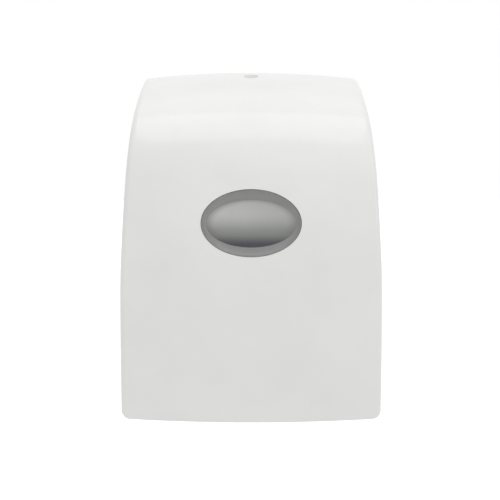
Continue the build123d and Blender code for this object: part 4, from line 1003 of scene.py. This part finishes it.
@dataclass
class PaperSupply:
    """The towel roll on its core and hubs, and the web threaded to the exit.

    Lengths are in metres.

    Attributes:
        board: Finish of the core.
        hub: Finish of the hubs.
        paper: Finish of the web.
        core_gap: Gap between the core and the wound paper.
        layer_steps: Slipped layers drawn on each end of the roll.
        layer_slip: How far a layer slips at most.
        corner: Radius of the roll's outer edges.
        roll_turns: Facets round the roll.
        web_half_width: Half the web's width.
        web_gap: From the web's middle to the roll and the sleeves.
        web_ply: Its thickness, drawn thicker than one real ply.
        web_columns: Faces across it.
        web_rows: Faces along its run to the feed roller, round it, and down to the exit.
        web_end: Height of its end.
        slack: Height of its ripples.
        ripples: Each ripple's rate in radians per metre, phase and share.
        rng: The random numbers of the slipped layers.
    """

    board: Cardboard = Cardboard("core_board", "#9C7F5E", 0.82, "#866A4B")
    hub: MouldedPlastic = MouldedPlastic(
        "hub_acetal", "#DCD9CE", 0.4, "#D2CFC3", 1.2, 0.02, 0.06, 1.48
    )
    paper: TowelPaper = TowelPaper("towel_paper", "#F3F1EC", 0.9, "#E8E5DE")
    core_gap: float = 0.0001
    layer_steps: int = 26
    layer_slip: float = 0.0004
    corner: float = 0.0014
    roll_turns: int = 144
    web_half_width: float = 0.0975
    web_gap: float = 0.00045
    web_ply: float = 0.0002
    web_columns: int = 28
    web_rows: tuple[int, int, int] = (20, 16, 12)
    web_end: float = 0.0085
    slack: float = 0.0006
    ripples: tuple[tuple[float, float, float], ...] = ((95.0, 1.3, 1.0), (231.0, 0.0, 0.5))
    rng: random.Random = field(default_factory=lambda: random.Random(7))

    @staticmethod
    def axle(node: str) -> tuple[Vector, float]:
        """Middle and outer radius of a round CAD node that lies along X."""
        low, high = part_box(node)
        return (low + high) / 2, (high.z - low.z) / 2

    def roll_profile(self, bore: float, outside: float, half: float) -> list[tuple[float, float]]:
        """Outline of the roll's wall as (x, radius): slipped layers on its ends, full outside.

        Args:
            bore: Radius of the core's outside.
            outside: Radius of the full roll.
            half: Half its width.

        Returns:
            The points, from the bore's middle round to the bore's middle.
        """
        face = []
        for index in range(self.layer_steps):
            share = index / self.layer_steps
            radius = bore + share * (outside - self.corner - bore)
            face.append((half - self.rng.random() * self.layer_slip, radius))
        for turn in (0.0, 0.5, 1.0):
            angle = turn * math.pi / 2
            x = half - self.layer_slip - self.corner * (1 - math.cos(angle))
            face.append((x, outside - self.corner * (1 - math.sin(angle))))
        other = [(-x, radius) for x, radius in reversed(face)]
        return [*face, *other]

    def build_roll(self) -> None:
        """Spins the wound roll about its core."""
        middle, outside = self.axle("towel_roll")
        low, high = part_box("towel_roll")
        bore = self.axle("roll_core")[1] + self.core_gap
        mesh = bmesh.new()
        outline = self.roll_profile(bore, outside, (high.x - low.x) / 2)
        corners = [
            mesh.verts.new((middle.x + x, middle.y, middle.z + radius)) for x, radius in outline
        ]
        edges = [mesh.edges.new(pair) for pair in zip(corners, [*corners[1:], corners[0]])]
        bmesh.ops.spin(
            mesh,
            geom=[*corners, *edges],
            cent=middle,
            axis=(1, 0, 0),
            angle=2 * math.pi,
            steps=self.roll_turns,
            use_merge=True,
        )
        bmesh.ops.remove_doubles(mesh, verts=mesh.verts, dist=1e-6)
        bmesh.ops.recalc_face_normals(mesh, faces=mesh.faces)
        piece = make_piece("wound_roll", mesh)
        wound = WoundPaper(
            "wound_towel_paper", "#F1EFEA", 0.92, "#E6E3DC", center=tuple(middle)
        )
        piece.data.materials.append(wound.material())
        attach(piece, "roll")
        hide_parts("towel_roll")

    def web_path(self) -> list[tuple[float, float]]:
        """Finds the web's middle line, from the roll's back round the feed roller and down.

        Returns:
            Its points as (y, z).
        """
        run_rows, wrap_rows, drop_rows = self.web_rows
        roll, roll_reach = self.axle("towel_roll")
        feed, feed_reach = self.axle("feed_roller_sleeves")
        roll_reach += self.web_gap
        feed_reach += self.web_gap
        span = math.hypot(feed.y - roll.y, feed.z - roll.z)
        heading = math.atan2(feed.z - roll.z, feed.y - roll.y)
        reach = roll_reach + feed_reach
        normal = heading + math.atan2(math.sqrt(span**2 - reach**2), reach)
        leave = Vector((math.cos(normal), math.sin(normal))) * roll_reach
        arrive = Vector((math.cos(normal), math.sin(normal))) * -feed_reach
        start = leave + Vector((roll.y, roll.z))
        end = arrive + Vector((feed.y, feed.z))
        run = [start.lerp(end, index / run_rows) for index in range(run_rows)]
        first = normal + math.pi
        turns = [first + (math.pi - first) * index / wrap_rows for index in range(wrap_rows + 1)]
        wrap = [
            Vector((feed.y + feed_reach * math.cos(a), feed.z + feed_reach * math.sin(a)))
            for a in turns
        ]
        tail = Vector((wrap[-1].x, self.web_end))
        drop = [wrap[-1].lerp(tail, index / drop_rows) for index in range(1, drop_rows + 1)]
        return [tuple(point) for point in (*run, *wrap, *drop)]

    def build_web(self) -> None:
        """Draws the web of paper from the roll, round the feed roller and down to the exit."""
        path = self.web_path()
        mesh = bmesh.new()
        first = mesh.verts.new((-self.web_half_width, *path[0]))
        last = mesh.verts.new((self.web_half_width, *path[0]))
        edge = mesh.edges.new((first, last))
        bmesh.ops.subdivide_edges(mesh, edges=[edge], cuts=self.web_columns - 1)
        edges = list(mesh.edges)
        for here, there in zip(path, path[1:]):
            step = Vector((0, there[0] - here[0], there[1] - here[1]))
            grown = bmesh.ops.extrude_edge_only(mesh, edges=edges)["geom"]
            corners = [part for part in grown if isinstance(part, bmesh.types.BMVert)]
            edges = [part for part in grown if isinstance(part, bmesh.types.BMEdge)]
            bmesh.ops.translate(mesh, verts=corners, vec=step)
        feed, feed_reach = self.axle("feed_roller_sleeves")
        free_foot, free_top = feed.z + feed_reach, path[0][1]
        for corner in mesh.verts:
            share = (corner.co.z - free_foot) / (free_top - free_foot)
            if 0 < share < 1:
                ripple = sum(
                    size * math.sin(corner.co.x * rate + phase)
                    for rate, phase, size in self.ripples
                )
                corner.co.y += self.slack * ripple * math.sin(share * math.pi)
        bmesh.ops.recalc_face_normals(mesh, faces=mesh.faces)
        piece = make_piece("paper_web", mesh)
        piece.data.materials.append(self.paper.material())
        ply = piece.modifiers.new("ply", "SOLIDIFY")
        ply.thickness = self.web_ply
        ply.offset = 0
        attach(piece, "chassis")
        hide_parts("towel_web")

    def dress(self) -> None:
        """Makes the paper and lays the core's and hubs' finishes on their CAD nodes."""
        self.build_roll()
        self.build_web()
        dress(["roll_core"], self.board.material())
        dress(["left_core_hub", "right_core_hub"], self.hub.material())


# ---- studio


@dataclass(frozen=True)
class Softbox:
    """A soft rectangular lamp.

    Attributes:
        name: Its name.
        place: Its middle, in metres.
        aim: The point that it faces.
        size: Its width and height in metres.
        radiance: How bright its face is, where 1 is white.
    """

    name: str
    place: Point
    aim: Point
    size: tuple[float, float]
    radiance: float

    def hang(self) -> None:
        """Adds the lamp to the scene."""
        data = bpy.data.lights.new(self.name, "AREA")
        data.shape = "RECTANGLE"
        data.size, data.size_y = self.size
        data.energy = self.radiance * math.pi * self.size[0] * self.size[1]
        lamp = bpy.data.objects.new(self.name, data)
        lamp.location = self.place
        facing = Vector(self.aim) - Vector(self.place)
        lamp.rotation_euler = facing.to_track_quat("-Z", "Y").to_euler()
        lamp.visible_camera = False
        bpy.context.scene.collection.objects.link(lamp)


@dataclass
class Studio:
    """Pale floor, soft lamps, white surroundings and the camera.

    Attributes:
        lamps: The soft lamps.
        front_ambient: Strength of the surroundings that the front faces.
        rear_ambient: Their strength behind the wall.
        right_lift: How much lighter they are on the right than in the middle.
        top_lift: How much lighter they are overhead than level.
        floor_height: Height of the floor under the hanging dispenser.
        floor_radius: Its radius, wide enough to reach the horizon.
        floor_sides: Sides of its outline.
        floor_color: Its sRGB hex colour.
        floor_glow: What it adds to its own light where it shows as the background.
        camera_place: Where the camera stands.
        lens: Its focal length on a 36 mm sensor.
        pitch: How far it looks down, in degrees.
        shift: Its vertical shift, as a share of the frame.
        sight: Its nearest and furthest sight, in metres.
    """

    lamps: tuple[Softbox, ...] = (
        Softbox("overhead_softbox", (0, -0.04, 1.6), (0, -0.04, 0), (1.3, 0.82), 0.69),
        Softbox("rear_softbox", (0, 0.26, 1.62), (0, 0.26, 0), (1.3, 1.42), 0.26),
        Softbox("side_strip", (1.5, -0.5, 0.9), (0.1, -0.1, 0.3), (0.12, 0.7), 3.0),
    )
    front_ambient: float = 1.05
    rear_ambient: float = 0.3
    right_lift: float = 0.09
    top_lift: float = 0.1
    floor_height: float = -0.8
    floor_radius: float = 80.0
    floor_sides: int = 64
    floor_color: str = "#F2F2F1"
    floor_glow: float = 0.55
    camera_place: Point = (-0.0015, -1.44, 0.303)
    lens: float = 70.6
    pitch: float = 2.6
    shift: float = -0.053
    sight: tuple[float, float] = (0.05, 50.0)

    def backdrop_rays(self, tree: bpy.types.NodeTree) -> bpy.types.NodeSocket:
        """Tells the rays that show the background: straight, in gloss and through glass.

        Args:
            tree: The node tree that asks.

        Returns:
            A socket that is 1 for those rays and 0 for the light on the object.
        """
        rays = add_node(tree, "ShaderNodeLightPath").outputs
        shown = rays["Is Camera Ray"]
        for kind in ("Is Glossy Ray", "Is Transmission Ray"):
            links = {0: shown, 1: rays[kind]}
            shown = add_node(tree, "ShaderNodeMath", {"operation": "MAXIMUM"}, links).outputs[0]
        return shown

    def surroundings(self) -> None:
        """Sets the world: white where it shows, and graded by direction as a light."""
        world = bpy.data.worlds.new("white_surroundings")
        bpy.context.scene.world = world
        world.use_nodes = True
        tree = world.node_tree
        tree.nodes.clear()
        toward = add_node(tree, "ShaderNodeTexCoord").outputs["Generated"]
        way = add_node(tree, "ShaderNodeSeparateXYZ", links={0: toward}).outputs
        settings = {"From Min": -1.0, "To Min": self.front_ambient, "To Max": self.rear_ambient}
        light = add_node(tree, "ShaderNodeMapRange", settings, {"Value": way["Y"]}).outputs[0]
        for axis, lift in (("X", self.right_lift), ("Z", self.top_lift)):
            settings = {"operation": "MULTIPLY_ADD", 1: lift}
            light = add_node(tree, "ShaderNodeMath", settings, {0: way[axis], 2: light}).outputs[0]
        links = {"Value": self.backdrop_rays(tree), "To Min": light}
        strength = add_node(tree, "ShaderNodeMapRange", {"To Max": 1.0}, links).outputs[0]
        settings = {"Color": (1, 1, 1, 1)}
        white = add_node(tree, "ShaderNodeBackground", settings, {"Strength": strength})
        add_node(tree, "ShaderNodeOutputWorld", links={"Surface": white.outputs[0]})

    def floor(self) -> None:
        """Lays a wide pale floor that still takes the dispenser's shadow."""
        mesh = bmesh.new()
        bmesh.ops.create_circle(
            mesh, cap_ends=True, segments=self.floor_sides, radius=self.floor_radius
        )
        bmesh.ops.translate(mesh, verts=mesh.verts, vec=(0, 0, self.floor_height))
        piece = make_piece("floor", mesh, smooth=False)
        material = bpy.data.materials.new("pale_floor")
        material.use_nodes = True
        tree = material.node_tree
        tree.nodes.clear()
        matt = add_node(tree, "ShaderNodeBsdfDiffuse", {"Color": srgb(self.floor_color)})
        settings = {"operation": "MULTIPLY", 1: self.floor_glow}
        lift = add_node(tree, "ShaderNodeMath", settings, {0: self.backdrop_rays(tree)})
        settings = {"Color": (1, 1, 1, 1)}
        glow = add_node(tree, "ShaderNodeEmission", settings, {"Strength": lift.outputs[0]})
        links = {0: matt.outputs[0], 1: glow.outputs[0]}
        both = add_node(tree, "ShaderNodeAddShader", links=links)
        add_node(tree, "ShaderNodeOutputMaterial", links={"Surface": both.outputs[0]})
        piece.data.materials.append(material)

    def camera(self) -> None:
        """Sets the camera, nearly level, in front of the dispenser."""
        data = bpy.data.cameras.new("front_camera")
        data.lens = self.lens
        data.shift_y = self.shift
        data.clip_start, data.clip_end = self.sight
        camera = bpy.data.objects.new("front_camera", data)
        camera.location = self.camera_place
        camera.rotation_euler = (math.radians(90 - self.pitch), 0, 0)
        bpy.context.scene.collection.objects.link(camera)
        bpy.context.scene.camera = camera

    def build(self) -> None:
        """Sets up the whole studio."""
        self.surroundings()
        self.floor()
        for lamp in self.lamps:
            lamp.hang()
        self.camera()


def main() -> None:
    """Builds every sub-assembly's looks, then the studio."""
    logging.basicConfig(level=logging.INFO, format="%(message)s")
    scene = bpy.context.scene
    scene.view_settings.view_transform = "Standard"
    for part in (Cover(), Chassis(), FeedDrive(), Lever(), PaperSupply()):
        part.dress()
    Studio().build()


if __name__ == "__main__":
    main()
